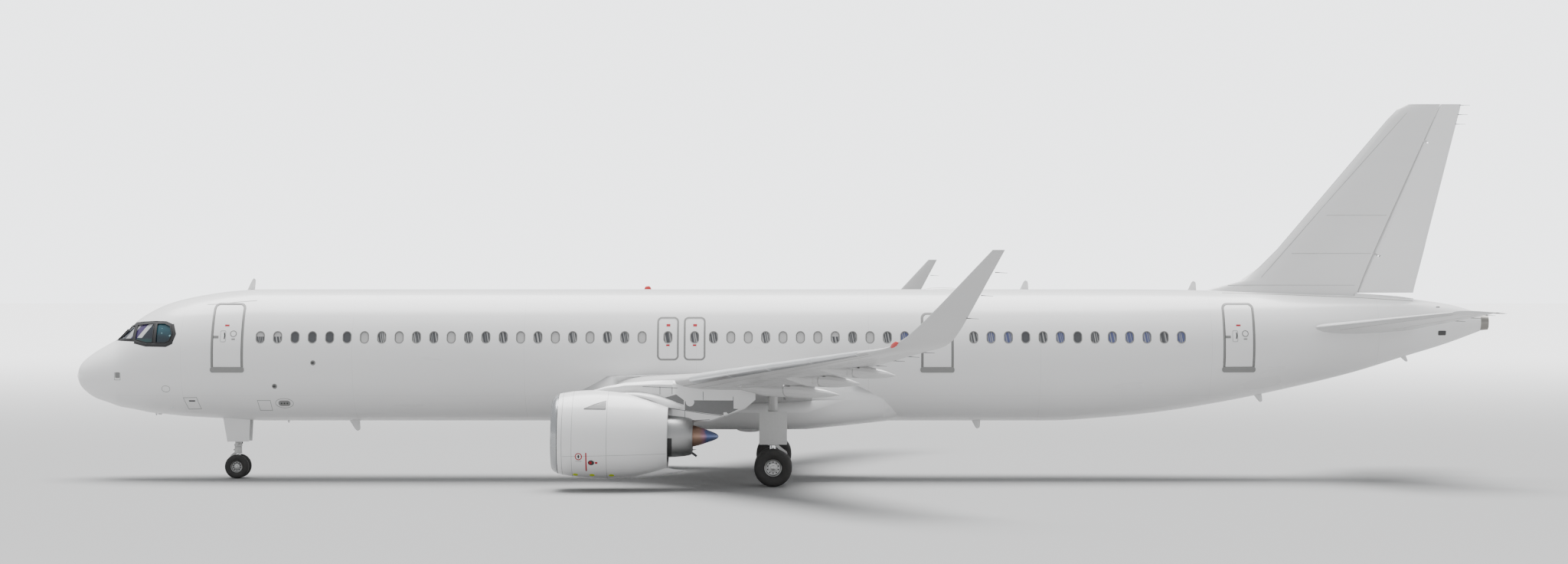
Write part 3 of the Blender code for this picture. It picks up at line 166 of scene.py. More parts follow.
# Window panes seen from the side: nearest distance to the middle, outline
PANES = (
    (0.035, ((1.36, 0.51), (1.74, 0.93), (1.98, 0.93), (1.98, 0.53))),
    (0.5, ((2.07, 0.52), (2.07, 0.96), (2.66, 1.02), (2.66, 0.42), (2.45, 0.42))),
    (0.5, ((2.77, 0.42), (2.77, 1.01), (3.02, 1.01), (3.20, 0.93), (3.29, 0.70), (3.20, 0.48), (3.08, 0.42))),
)
PANE_DEPTH, BAND_DEPTH = 0.03, 0.09

# Wing sections: span, leading edge x and z, trailing edge x, incidence in degrees, thickness ratio
WING = (
    (1.98, 17.03, -1.00, 23.15, 3.5, 0.150),
    (6.40, 19.33, -0.60, 23.25, 1.0, 0.120),
    (16.30, 24.49, 0.45, 26.14, -1.5, 0.108),
)
WING_CAMBER = 0.012
TAILPLANE = ((0.50, 38.29, 0.79, 41.94, 0.0, 0.100), (6.225, 42.07, 1.39, 43.40, 0.0, 0.090))
# Fin sections: height, leading edge x, trailing edge x, half thickness
FIN = (
    (1.70, 34.60, 42.10, 0.16), (2.11, 35.84, 42.20, 0.20), (2.35, 36.71, 42.26, 0.22),
    (2.76, 37.29, 42.37, 0.235), (3.34, 37.87, 42.52, 0.235), (3.68, 38.16, 42.60, 0.23),
    (7.43, 41.35, 43.56, 0.115), (7.74, 41.66, 43.64, 0.10), (7.91, 42.00, 43.67, 0.07),
)
RUDDER_HINGE = ((40.49, 1.96), (43.06, 7.86))
INNER_FLAP, INNER_FLAP_X = (2.32, 6.33), 22.42
OUTER_FLAP, AILERON, CONTROL_CHORD = (6.41, 12.20), (12.38, 16.02), 0.775
SPOILER, SPOILER_SKIN = (6.80, 11.90, 0.610, 0.735), 0.04
ELEVATOR, ELEVATOR_CHORD = (1.12, 6.00), 0.70
TAIL_PIVOT, TAIL_TUBE = (40.55, 0.84), 0.11

# Wheels: name, middle of the axle, tyre radius, bead radius, width, offset, axle radius, housing's half length
WHEELS = (
    ("nose_wheel", (5.07, 0, GROUND + 0.375), 0.375, 0.19, 0.22, 0.25, 0.045, 0.11),
    ("main_wheel_left", (21.97, -3.795, GROUND + 0.575), 0.575, 0.27, 0.42, 0.4635, 0.075, 0.20),
    ("main_wheel_right", (21.97, 3.795, GROUND + 0.575), 0.575, 0.27, 0.42, 0.4635, 0.075, 0.20),
)
TYRE_SIDES = 34
NOSE_COLLAR_Z, MAIN_LEG_BOTTOM = -2.90, -2.62

# Seams of the fin, seen from the side
FIN_LINES = (
    ((37.35, 2.45), (39.90, 5.35), (42.10, 7.80)), ((36.30, 2.20), (40.30, 2.20)),
    ((39.40, 4.40), (41.30, 4.40)), ((38.30, 3.20), (40.80, 3.20)),
)
# Winglet sections: span, leading edge x and z, trailing edge x and z, lean in degrees
WINGLET = (
    (16.75, 24.95, 0.56, 26.40, 0.57, 20), (17.15, 25.40, 0.80, 26.66, 0.74, 45),
    (17.45, 25.85, 1.20, 26.90, 1.08, 65), (17.62, 26.30, 1.66, 27.14, 1.52, 76),
    (17.90, 27.69, 3.13, 28.01, 3.13, 80),
)
WINGLET_RATIO = 0.09

ENGINE, ENGINE_TILT = (15.42, 5.75, -2.20), 1.0
LIP_JOINT = 0.33
LIP_PROFILE = (
    (1.215, 0.33), (1.165, 0.15), (1.10, 0.045), (1.035, 0.0), (0.985, 0.03), (0.945, 0.12), (0.93, 0.33),
)
COWL_OUTSIDE = ((1.215, 0.33), (1.275, 0.70), (1.31, 1.35), (1.27, 2.15), (1.13, 2.90), (0.955, 3.44))
COWL_INSIDE = ((0.935, 3.44), (0.985, 2.60), (1.02, 1.30), (1.00, 0.80), (0.93, 0.33))
CORE_PROFILE = (
    (0.12, 0.82), (0.12, 1.02), (0.30, 1.02), (0.56, 1.10), (0.68, 1.60), (0.70, 2.60),
    (0.65, 3.44), (0.51, 4.17), (0.47, 4.17), (0.47, 3.92), (0.0, 3.92),
)
PLUG_PROFILE = ((0.0, 3.92), (0.33, 3.92), (0.335, 4.05), (0.30, 4.25), (0.18, 4.62), (0.04, 4.92), (0.0, 4.94))
SPINNER_PROFILE = ((0.0, 0.28), (0.06, 0.32), (0.16, 0.44), (0.29, 0.62), (0.30, 0.72), (0.30, 0.98), (0.15, 0.98))
VANES = 24
# Outlet vane and fan blade sections: radius, chord, stagger in degrees, half thickness, shift aft
VANE_SECTIONS = ((0.63, 0.30, 8, 0.012, 0.0), (1.00, 0.34, 4, 0.010, 0.05))
BLADE_SECTIONS = (
    (0.24, 0.30, 20, 0.022, 0.02), (0.42, 0.36, 34, 0.016, 0.00), (0.65, 0.42, 48, 0.011, -0.03),
    (0.84, 0.42, 57, 0.008, -0.01), (0.972, 0.36, 62, 0.006, 0.05),
)
BLADE_PITCH, TURN_PITCH = 6, 4            # degrees of turn between the rings of a blade and of a winglet
COWL_SEAMS, CORE_SEAMS = (0.335, 0.63, 1.66, 3.425), (3.52, 3.72, 3.98)
FAN_BLADES = 18
FAN_MIDDLE = 0.79

# Pylon sections: x, top, bottom, half width
PYLON = (
    (16.55, -0.94, -1.30, 0.02), (17.00, -0.81, -1.40, 0.13), (17.58, -0.69, -1.50, 0.18),
    (18.40, -0.63, -1.70, 0.21), (19.00, -0.62, -1.86, 0.22), (20.10, -0.66, -1.86, 0.20),
    (20.60, -0.72, -1.68, 0.15), (21.13, -0.78, -1.47, 0.07), (21.45, -0.82, -1.20, 0.02),
)
KEEL = (
    (17.45, -3.40, -3.475, 0.05), (17.77, -3.38, -3.53, 0.16), (18.30, -3.30, -3.50, 0.20),
    (18.78, -3.21, -3.43, 0.19), (19.10, -3.265, -3.37, 0.12), (19.37, -3.285, -3.295, 0.015),
)
SHOULDER = (
    (17.35, -0.98, -1.03, 0.30), (17.90, -0.97, -1.08, 0.40), (18.40, -1.03, -1.21, 0.46),
    (18.80, -1.15, -1.40, 0.44), (19.05, -1.24, -1.43, 0.38), (19.33, -1.39, -1.41, 0.25),
)
SHOULDER_INSIDE = 0.222
# Pylon's dark side panels, the round notch in them and the panel lines, seen from the side
PYLON_DARKS = (
    [(19.36, -1.50), (19.36, -1.24), (19.62, -1.205), (20.79, -1.215), (20.79, -1.455), (20.95, -1.47),
     (20.55, -1.66), (19.90, -1.58)],
    [(18.72, -1.14), (19.10, -1.03), (19.33, -1.20), (19.33, -1.34)],
)
PYLON_NOTCH = (19.51, -1.26, 0.25, 0.25)
PYLON_LINES = (
    [(18.90, -1.44), (19.36, -1.51), (19.90, -1.60), (20.55, -1.68)],
    [(18.93, -1.75), (19.62, -1.80), (20.10, -1.78)], [(19.36, -1.51), (19.36, -1.78)],
    [(18.10, -0.80), (19.14, -0.84)], [(18.62, -0.80), (18.62, -1.04)], [(18.98, -0.82), (18.98, -1.03)],
    [(20.79, -1.455), (20.79, -1.10)], [(19.90, -1.20), (19.90, -0.95)],
)
# Belly fairing sections: x, half width, bottom
BELLY = (
    (14.60, 0.60, -1.90), (15.60, 1.55, -2.16), (17.00, 2.10, -2.30), (18.60, 2.24, -2.37),
    (21.20, 2.26, -2.41), (22.80, 2.20, -2.33), (24.20, 1.98, -2.22), (25.40, 1.50, -2.10),
    (26.30, 0.70, -1.95),
)


class Field:
    """A shader socket that takes part in plain arithmetic."""

    def __init__(self, surface, socket):
        self.surface = surface
        self.socket = socket

    def math(self, operation, *values):
        return self.surface.node("ShaderNodeMath", {"operation": operation}, *values)

    def __add__(self, other):
        return self.math("ADD", self, other)

    def __sub__(self, other):
        return self.math("SUBTRACT", self, other)

    def __mul__(self, other):
        return self.math("MULTIPLY", self, other)

    def __truediv__(self, other):
        return self.math("DIVIDE", self, other)

    def __rsub__(self, other):
        return self.math("SUBTRACT", other, self)

    __radd__ = __add__
    __rmul__ = __mul__

    def __gt__(self, other):
        return self.math("GREATER_THAN", self, other)

    def __lt__(self, other):
        return self.math("LESS_THAN", self, other)

    def __abs__(self):
        return self.math("ABSOLUTE", self)

    def __mod__(self, other):
        return self.math("FLOORED_MODULO", self, other)

    def step(self, low, high):
        """0 below low, 1 above high, smooth between."""
        settings = {"interpolation_type": "SMOOTHSTEP"}
        return self.surface.node("ShaderNodeMapRange", settings, self, low, high)


class Surface:
    """A material whose Principled shader takes plain values, fields and colours."""

    def __init__(self, name, colour, roughness, metallic=0.0, **fixed):
        self.material = bpy.data.materials.new(name)
        self.material.use_nodes = True
        self.tree = self.material.node_tree
        self.shader = self.tree.nodes["Principled BSDF"]
        self.set(**{"Base Color": (*colour, 1), "Roughness": roughness, "Metallic": metallic}, **fixed)

    def set(self, **values):
        for name, value in values.items():
            self.feed(self.shader.inputs[name.replace("_", " ")], value)
        return self

    def feed(self, socket, value):
        if isinstance(value, Field):
            self.tree.links.new(value.socket, socket)
        elif value is not None:
            socket.default_value = value

    def node(self, kind, settings, *values, output=0, **named):
        made = self.tree.nodes.new(kind)
        for key, value in settings.items():
            if key == "stops":
                ramp = made.color_ramp
                for at, colour in value[1:-1]:
                    ramp.elements.new(at)
                for element, (at, colour) in zip(ramp.elements, value):
                    element.position = at
                    element.color = colour
            else:
                setattr(made, key, value)
        for socket, value in zip(made.inputs, values):
            self.feed(socket, value)
        for key, value in named.items():
            self.feed(made.inputs[key], value)
        return Field(self, made.outputs[output])

    def place(self):
        return self.node("ShaderNodeTexCoord", {}, output="Object")

    def axes(self):
        """The three coordinates in the model's metres."""
        made = self.tree.nodes.new("ShaderNodeSeparateXYZ")
        self.feed(made.inputs[0], self.place())
        return [Field(self, socket) for socket in made.outputs]

    def noise(self, scale, detail=3.0, stretch=None):
        place = self.place()
        if stretch:
            place = self.node("ShaderNodeMapping", {}, Vector=place, Scale=stretch)
        return self.node("ShaderNodeTexNoise", {}, Vector=place, Scale=scale, Detail=detail, output="Fac")

    def attribute(self, name, output="Fac"):
        return self.node("ShaderNodeAttribute", {"attribute_name": name}, output=output)

    def mix(self, mask, first, second):
        """The first colour where the mask is 0 and the second where it is 1."""
        made = self.tree.nodes.new("ShaderNodeMix")
        made.data_type = "RGBA"
        for index, value in ((0, mask), (6, first), (7, second)):
            self.feed(made.inputs[index], value)
        return Field(self, made.outputs[2])

    def bump(self, height, distance, strength=1.0):
        normal = self.node("ShaderNodeBump", {}, Height=height, Distance=distance, Strength=strength)
        return self.set(Normal=normal)


def grey(value, warm=0.0):
    return (value + warm, value, value - warm, 1)


def paint(name, tone, roughness, seam_pitch=0.0):
    """Gloss aircraft paint: faint patches, streaks that run aft, and lap joints where it has a seam pitch."""
    surface = Surface(name, (tone,) * 3, roughness, Coat_Weight=0.25, Coat_Roughness=0.12)
    patches = surface.noise(0.7, 4)
    streaks = surface.noise(5.0, 4, (0.12, 1.0, 1.0))
    shade = surface.mix(patches * 0.5 + streaks * 0.5, grey(tone * 0.955, 0.004), grey(tone * 1.03, 0.001))
    x, y, z = surface.axes()
    if seam_pitch:
        joint = (abs((x % seam_pitch) - seam_pitch / 2) < 0.0022)
        lap = (abs(abs(z - 1.94) - 0.62) < 0.0018)
        line = (joint + lap).step(0, 1)
        shade = surface.mix(line * 0.22, shade, grey(0.30))
    surface.set(**{"Base Color": shade}, Roughness=patches * 0.10 + streaks * 0.08 + (roughness - 0.09))
    return surface.bump(surface.noise(45, 2), 0.0004, 0.25).material


def metal(name, tone, roughness, brushed=(1.0, 1.0, 1.0)):
    surface = Surface(name, tone, roughness, 1.0)
    grain = surface.noise(60, 4, brushed)
    patches = surface.noise(3, 4)
    dark = tuple(c * 0.82 for c in tone)
    surface.set(**{"Base Color": surface.mix(patches, (*dark, 1), (*tone, 1))},
                Roughness=grain * 0.12 + patches * 0.10 + (roughness - 0.11))
    return surface.bump(grain, 0.0003, 0.15).material


def plain(name, colour, roughness, metallic=0.0, **fixed):
    """A small part's finish, with a faint mottle."""
    surface = Surface(name, colour, roughness, metallic, **fixed)
    mottle = surface.noise(25, 3)
    low = tuple(c * 0.88 for c in colour)
    surface.set(**{"Base Color": surface.mix(mottle, (*low, 1), (*colour, 1))},
                Roughness=mottle * 0.10 + (roughness - 0.05))
    return surface.material


def heat_tint():
    """Exhaust plug: brown at its root, turning violet and then blue towards the tip."""
    surface = Surface("heat_tinted_metal", (0.4, 0.3, 0.25), 0.32, 0.9)
    along = surface.attribute("along")
    wander = along + surface.noise(9, 3) * 0.16 - 0.08
    stops = ((0.0, (0.19, 0.11, 0.07, 1)), (0.45, (0.42, 0.27, 0.21, 1)), (0.56, (0.45, 0.25, 0.33, 1)),
             (0.66, (0.16, 0.20, 0.40, 1)), (1.0, (0.22, 0.27, 0.42, 1)))
    colour = surface.node("ShaderNodeValToRGB", {"stops": stops}, wander)
    return surface.set(**{"Base Color": colour}, Roughness=surface.noise(14, 3) * 0.2 + 0.25).material


def rubber():
    """Tyre rubber with dust on it and grooves round its tread, placed by how far across the tyre they lie; the grooves
    are coloured near black as painted shade and dented by the bump.
    """
    surface = Surface("tyre_rubber", (0.03, 0.03, 0.03), 0.8)
    dust = surface.noise(14, 5)
    away = abs(surface.attribute("along") - 0.5) * 2
    groove_shade_and_depth = (abs(away - 0.11) < 0.022) + (abs(away - 0.33) < 0.022)
    colour = surface.mix(dust, (0.018, 0.018, 0.018, 1), (0.055, 0.053, 0.05, 1))
    # Painted shade: the grooves are coloured near black.
    surface.set(**{"Base Color": surface.mix(groove_shade_and_depth, colour, (0.006, 0.006, 0.006, 1))},
                Roughness=dust * 0.25 + 0.62)
    return surface.bump(surface.noise(180, 3) * 0.1 - groove_shade_and_depth, 0.006, 0.7).material


def cabin_pane():
    """Cabin window: the dark cabin behind the glass is painted shade; shade height, painted streaks of light and
    blueness come with each window.
    """
    surface = Surface("cabin_pane", (0.3, 0.3, 0.3), 0.12, Coat_Weight=0.6, Coat_Roughness=0.05)
    uv = surface.node("ShaderNodeUVMap", {"uv_map": "pane"})
    across = surface.node("ShaderNodeSeparateXYZ", {}, uv, output="X")
    up = surface.node("ShaderNodeSeparateXYZ", {}, uv, output="Y")
    seed = surface.attribute("seed")
    # Painted shade: the cabin behind the glass is a dark colour, bluer in the blue windows.
    inside = surface.mix(surface.attribute("blue"), (0.055, 0.057, 0.062, 1), (0.06, 0.075, 0.19, 1))
    bent = across + up * 0.25 + seed
    # Painted light: pale streaks over the dark cabin in the streaked windows.
    painted_light_streak = surface.node("ShaderNodeTexNoise", {"noise_dimensions": "1D"}, W=bent * 3.2, Scale=1.6, Detail=2.0,
                          output="Fac").step(0.50, 0.60)
    inside = surface.mix(painted_light_streak * surface.attribute("streaks"), inside, grey(0.36))
    shaded = ((1 - up) < surface.attribute("shade"))
    colour = surface.mix(shaded, inside, grey(0.44, 0.004))
    edge = (abs(across - 0.5) * 2).step(0.75, 1.0)
    colour = surface.mix(edge * 0.45, colour, grey(0.16))
    return surface.set(**{"Base Color": colour}).material


def cockpit_pane():
    """Coated glass: painted reflections of pale sky as bands over the front panes, violet in the middle ones,
    blue-green in the rear ones with a painted glint.
    """
    surface = Surface("cockpit_pane", (0.02, 0.03, 0.04), 0.12, Coat_Weight=0.25, Coat_Roughness=0.05)
    x, y, z = surface.axes()
    x = x * 2 + 22.255
    z = z * 2 + GROUND
    wander = surface.noise(6.0, 3) * 0.12 - 0.06
    slant = x - z * 0.77
    rear = x.step(2.68, 2.76)
    violet = (slant + wander).step(1.42, 1.50) * (1 - (slant + wander).step(1.66, 1.74))
    colour = surface.mix(violet, (0.012, 0.016, 0.024, 1), (0.040, 0.026, 0.085, 1))
    colour = surface.mix((1 - (z + wander).step(0.46, 0.58)) * 0.8, colour, (0.012, 0.045, 0.045, 1))
    teal = surface.mix((z + wander * 2).step(0.50, 0.92), (0.008, 0.018, 0.026, 1), (0.016, 0.065, 0.085, 1))
    colour = surface.mix(rear, colour, teal)
    # Painted reflection: two pale slanting bands of sky over the panes ahead of the rear ones.
    first = slant.step(1.29, 1.305) * (1 - slant.step(1.47, 1.485))
    second = slant.step(1.69, 1.705) * (1 - slant.step(1.85, 1.865)) * (z + wander).step(0.54, 0.57)
    colour = surface.mix((first * 0.75 + second) * (1 - rear), colour, (0.40, 0.41, 0.42, 1))
    # Painted glint: pale blue-green specks of reflected light on the rear panes.
    painted_glint = (surface.noise(16, 2) - 0.66).step(0, 0.04) * rear
    colour = surface.mix(painted_glint, colour, (0.16, 0.30, 0.33, 1))
    return surface.set(**{"Base Color": colour}).material


WHITE = paint("white_gloss_paint", 0.80, 0.30, 2.665)
WHITE_PLAIN = paint("white_cowl_paint", 0.80, 0.30)
FIN_WHITE = paint("fin_paint", 0.74, 0.34)
WING_GREY = paint("wing_grey_paint", 0.56, 0.38)
OUTLINE = plain("outline_grey_paint", (0.215, 0.215, 0.21), 0.5)
SILL = plain("sill_grey_paint", (0.25, 0.25, 0.245), 0.5)
GAP = plain("shadow_gap", (0.045, 0.045, 0.045), 0.7)
RIM = plain("window_rim_grey", (0.20, 0.20, 0.195), 0.45)
SEAM = plain("panel_line_grey", (0.33, 0.33, 0.325), 0.55)
DARK_MARK = plain("dark_mark", (0.055, 0.055, 0.055), 0.5)
LINER = plain("primer_grey_green", (0.32, 0.34, 0.28), 0.6)
DARK_FRAME = plain("black_frame", (0.008, 0.008, 0.009), 0.55)
GLASS = cockpit_pane()
PANE = cabin_pane()
LIP_METAL = metal("polished_lip", (0.46, 0.47, 0.48), 0.26, (1.0, 0.2, 0.2))
CORE_METAL = metal("core_titanium", (0.40, 0.40, 0.40), 0.38)
PLUG_METAL = heat_tint()
DARK_METAL = metal("dark_duct", (0.09, 0.09, 0.095), 0.5)
BLADE_METAL = metal("fan_blade_metal", (0.16, 0.165, 0.175), 0.34)
BLADE_EDGE = metal("blade_edge_metal", (0.60, 0.61, 0.62), 0.26)
HUB_METAL = metal("wheel_hub_metal", (0.62, 0.62, 0.61), 0.36)
OLEO = metal("polished_strut", (0.80, 0.81, 0.82), 0.10)
GEAR_PAINT = plain("gear_grey_paint", (0.62, 0.62, 0.61), 0.42)
STEEL = metal("fastener_steel", (0.45, 0.45, 0.46), 0.35)
RUBBER = rubber()
SEAL = plain("window_seal", (0.010, 0.010, 0.011), 0.55)
APU_METAL = metal("exhaust_steel", (0.30, 0.29, 0.27), 0.42)
SLAT_METAL = metal("polished_slat", (0.82, 0.83, 0.84), 0.36, (1.0, 1.0, 0.3))
TAIL_WHITE = paint("tail_paint", 0.66, 0.36)
RUDDER_WHITE = paint("rudder_paint", 0.84, 0.36)
PYLON_GREY = plain("pylon_grey", (0.20, 0.20, 0.20), 0.5)
VENT_GREY = plain("vent_grey", (0.24, 0.24, 0.24), 0.45)
# Dark seams, and the painted shadow on the engine cores.
DARK_SEAM_AND_SHADOW = plain("dark_seam_and_shadow", (0.045, 0.045, 0.045), 0.6)
SPINNER_METAL = plain("spinner_paint", (0.06, 0.06, 0.065), 0.4)
RED = plain("mark_red", (0.42, 0.008, 0.02), 0.5)
LIME = plain("mark_lime", (0.70, 0.85, 0.02), 0.5)
BLACK = plain("black_rubber", (0.02, 0.02, 0.02), 0.6)
RED_LENS = plain("red_lens", (0.55, 0.02, 0.02), 0.10, Coat_Weight=1.0)
GREEN_LENS = plain("green_lens", (0.02, 0.40, 0.12), 0.10, Coat_Weight=1.0)
CLEAR_LENS = plain("clear_lens", (0.75, 0.78, 0.80), 0.06, Coat_Weight=1.0)


def finish(name, mesh, material, body="airframe", stands_for=(), slot=None, sharp=32):
    """Bring a drawn mesh to the model's metres, shade it and let it ride on its body."""
    if isinstance(mesh, bmesh.types.BMesh):
        shape = bpy.data.meshes.new(name)
        mesh.to_mesh(shape)
        mesh.free()
        mesh = shape
    mesh.name = name
    mesh.transform(TO_MODEL)
    if material:
        mesh.materials.clear()
        mesh.materials.append(material)
    mesh.shade_smooth()
    mesh.set_sharp_from_angle(angle=math.radians(sharp))
    obj = bpy.data.objects.new(name, mesh)
    bpy.context.scene.collection.objects.link(obj)
    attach(obj, body)
    if stands_for:
        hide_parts(*stands_for)
    return obj


def refined(node, body, material, slot=None, sharp=32):
    """A CAD node's own shape with its seams closed and its curved faces shaded round."""
    bm = bmesh.new()
    bm.from_mesh(frame["nodes"][node].data)
    bmesh.ops.remove_doubles(bm, verts=bm.verts, dist=0.00002)
    bmesh.ops.dissolve_limit(bm, angle_limit=math.radians(0.1), verts=bm.verts, edges=bm.edges)
    bm.transform(TO_MODEL.inverted())
    return finish(node + "_finish", bm, material, body, (node,), slot, sharp)


def solid(bm):
    bmesh.ops.recalc_face_normals(bm, faces=bm.faces)
    return bm


def loft(bm, rings, caps=True):
    """Skin rings of equally many points, and close both ends."""
    rows = [[bm.verts.new(point) for point in ring] for ring in rings]
    count = len(rows[0])
    for near, far in zip(rows, rows[1:]):
        for i in range(count):
            j = (i + 1) % count
            bm.faces.new((near[i], near[j], far[j], far[i]))
    if caps:
        bm.faces.new(rows[0])
        bm.faces.new(reversed(rows[-1]))
    return bm


def prism_y(bm, outline, y_low, y_high):
    return loft(bm, [[(x, y, z) for x, z in outline] for y in (y_low, y_high)])


def box(bm, low, high):
    corners = [(low[0], low[1]), (high[0], low[1]), (high[0], high[1]), (low[0], high[1])]
    return loft(bm, [[(x, y, z) for x, y in corners] for z in (low[2], high[2])])


def rod(bm, start, end, radius, sides=32, end_radius=None):
    start, end = Vector(start), Vector(end)
    along = end - start
    place = Matrix.Translation((start + end) / 2) @ along.to_track_quat("Z", "Y").to_matrix().to_4x4()
    bmesh.ops.create_cone(bm, cap_ends=True, segments=sides, radius1=radius, radius2=end_radius or radius,
                          depth=along.length, matrix=place)
    return bm


def arc(radius, start, end, steps):
    angles = [math.radians(start + (end - start) * i / steps) for i in range(steps + 1)]
    return [(radius * math.cos(a), radius * math.sin(a)) for a in angles]


def lerp(a, b, t):
    return a + (b - a) * t


def smooth_rows(rows, pitch, least=2):
    """Rows between the given ones on a curve that keeps to their rises and falls."""
    rows = np.array(rows, float)
    steps = np.linalg.norm(np.diff(rows, axis=0), axis=1)
    rates = np.diff(rows, axis=0) / steps[:, None]
    slopes = np.vstack([rates[:1], np.zeros((len(rows) - 2, rows.shape[1])), rates[-1:]])
    for i in range(1, len(rows) - 1):
        before, after = rates[i - 1], rates[i]
        same = before * after > 0
        first, second = 2 * steps[i] + steps[i - 1], steps[i] + 2 * steps[i - 1]
        with np.errstate(divide="ignore", invalid="ignore"):
            mean = (first + second) / (first / before + second / after)
        slopes[i] = np.where(same, mean, 0)
    found = [rows[0]]
    for i, length in enumerate(steps):
        count = max(least, int(round(length / pitch)))
        for k in range(1, count + 1):
            t = k / count
            found.append((2 * t ** 3 - 3 * t ** 2 + 1) * rows[i] + (t ** 3 - 2 * t ** 2 + t) * length * slopes[i]
                         + (3 * t ** 2 - 2 * t ** 3) * rows[i + 1] + (t ** 3 - t ** 2) * length * slopes[i + 1])
    return np.array(found)


SECTIONS = smooth_rows(FUSELAGE, RING_PITCH, 4)


def section_at(x):
    """Middle height, half height and half width of the fuselage at x."""
    top, bottom, wide = [np.interp(x, SECTIONS[:, 0], SECTIONS[:, k]) for k in (1, 2, 3)]
    return (top + bottom) / 2, (top - bottom) / 2, wide


def skin_normals(points):
    """Outward directions of the fuselage's skin at many points."""
    points = np.asarray(points, float).reshape(-1, 3)
    x, y, z = points.T
    step = 0.02

    def level(at):
        middle, tall, wide = section_at(at)
        return (y / np.maximum(wide, 0.02)) ** 2 + ((z - middle) / np.maximum(tall, 0.02)) ** 2

    middle, tall, wide = section_at(x)
    along = (level(x + step) - level(x - step)) / (2 * step)
    out = np.stack([along, 2 * y / wide ** 2, 2 * (z - middle) / tall ** 2], axis=1)
    return out / np.maximum(np.linalg.norm(out, axis=1), 1e-9)[:, None]


def skin_at(x, z, side, lift=0.0):
    """Point of the fuselage's side at a place seen from the side, lifted off the skin."""
    middle, tall, wide = section_at(x)
    y = side * wide * math.sqrt(max(0.0, 1 - ((z - middle) / tall) ** 2))
    point = Vector((x, y, z))
    return point + Vector(skin_normals([point])[0]) * lift


def round_on_skin(mesh, limit=0.9):
    """Shade the faces that lie along the fuselage's skin by the skin's own directions."""
    count = len(mesh.loops)
    corners = np.zeros(count, np.int32)
    mesh.loops.foreach_get("vertex_index", corners)
    places = np.zeros(len(mesh.vertices) * 3)
    mesh.vertices.foreach_get("co", places)
    to_full = np.array(TO_MODEL.inverted())
    points = places.reshape(-1, 3)[corners] @ to_full[:3, :3].T + to_full[:3, 3]
    flat = np.zeros(len(mesh.polygons) * 3)
    mesh.polygons.foreach_get("normal", flat)
    totals = np.zeros(len(mesh.polygons), np.int32)
    mesh.polygons.foreach_get("loop_total", totals)
    flat = np.repeat(flat.reshape(-1, 3), totals, axis=0)
    smooth = skin_normals(points)
    along = np.einsum("ij,ij->i", flat, smooth) > limit
    mesh.normals_split_custom_set(np.where(along[:, None], smooth, flat).tolist())


def boolean(base, tool, operation, name="cut"):
    """The mesh left when one closed shape is cut, joined or crossed with another."""
    objs = []
    for shape in (base, tool):
        if isinstance(shape, bmesh.types.BMesh):
            mesh = bpy.data.meshes.new(name)
            solid(shape).to_mesh(mesh)
            shape.free()
            shape = mesh
        obj = bpy.data.objects.new(name, shape)
        bpy.context.scene.collection.objects.link(obj)
        objs.append(obj)
    modifier = objs[0].modifiers.new(name, "BOOLEAN")
    modifier.operation = operation
    modifier.solver = "EXACT"
    modifier.material_mode = "TRANSFER"
    modifier.object = objs[1]
    made = bpy.data.meshes.new_from_object(objs[0].evaluated_get(bpy.context.evaluated_depsgraph_get()))
    for obj in objs:
        bpy.data.objects.remove(obj)
    return made


def painted(bm, material):
    """A cutter or a base as a mesh with its material, so that the faces it leaves carry it."""
    mesh = bpy.data.meshes.new("shape")
    solid(bm).to_mesh(mesh)
    bm.free()
    mesh.materials.append(material)
    return mesh


def fuselage_solid(inset=0.0):
    angles = [2 * math.pi * (i + 0.5) / SKIN_SIDES for i in range(SKIN_SIDES)]
    rings = []
    for x, top, bottom, wide in SECTIONS:
        middle, tall, wide = (top + bottom) / 2, max(0.01, (top - bottom) / 2 - inset), max(0.01, wide - inset)
        rings.append([(x, wide * math.cos(a), middle + tall * math.sin(a)) for a in angles])
    return loft(bmesh.new(), rings)


def rounded(low, high, radius, steps=6):
    """Outline of a box with round corners, from its low and high corner."""
    outline = []
    corners = ((high[0], high[1]), (low[0], high[1]), (low[0], low[1]), (high[0], low[1]))
    for corner, (x, z) in enumerate(corners):
        inward_x = -radius if x == high[0] else radius
        inward_z = -radius if z == high[1] else radius
        for dx, dz in arc(radius, 90 * corner, 90 * corner + 90, steps):
            outline.append((x + inward_x + dx, z + inward_z + dz))
    return outline


def door_outline(front, rear, top, gap=0.0):
    return rounded((front - gap, DOOR_SILL - gap), (rear + gap, top + gap), DOOR_CORNER + gap)


def window_outline(x, z=WINDOW_Z, size=WINDOW_SIZE, shrink=0.0, steps=6):
    half, tall = size[0] / 2 - shrink, size[1] / 2 - shrink
    return rounded((x - half, z - tall), (x + half, z + tall), half * 0.98, steps)


def window_places():
    places = [(x, "s") for x in EXITS]
    for first, pitch, looks in WINDOW_ROWS:
        places += [(first + pitch * i, look) for i, look in enumerate(looks)]
    return places


def cargo_wedge(bm, front, rear, side_gap=0.0, sill_gap=0.0, top_gap=0.0):
    def edge(z):
        y = 1.975 * math.sqrt(1 - (z / 2.07) ** 2)
        return Vector((0, y, z)), Vector((0, y / 1.975 ** 2, z / 2.07 ** 2)).normalized()

    (top, top_out), (sill, sill_out) = edge(CARGO_TOP), edge(CARGO_SILL)
    top = top + Vector((0, 0, top_gap))
    sill = sill + Vector((0, -0.7, -0.7)) * sill_gap
    outline = [top - top_out * 0.4, top + top_out * 0.4, sill + sill_out * 0.4, sill - sill_out * 0.4]
    return loft(bm, [[(x, p.y, p.z) for p in outline] for x in (front - side_gap, rear + side_gap)])


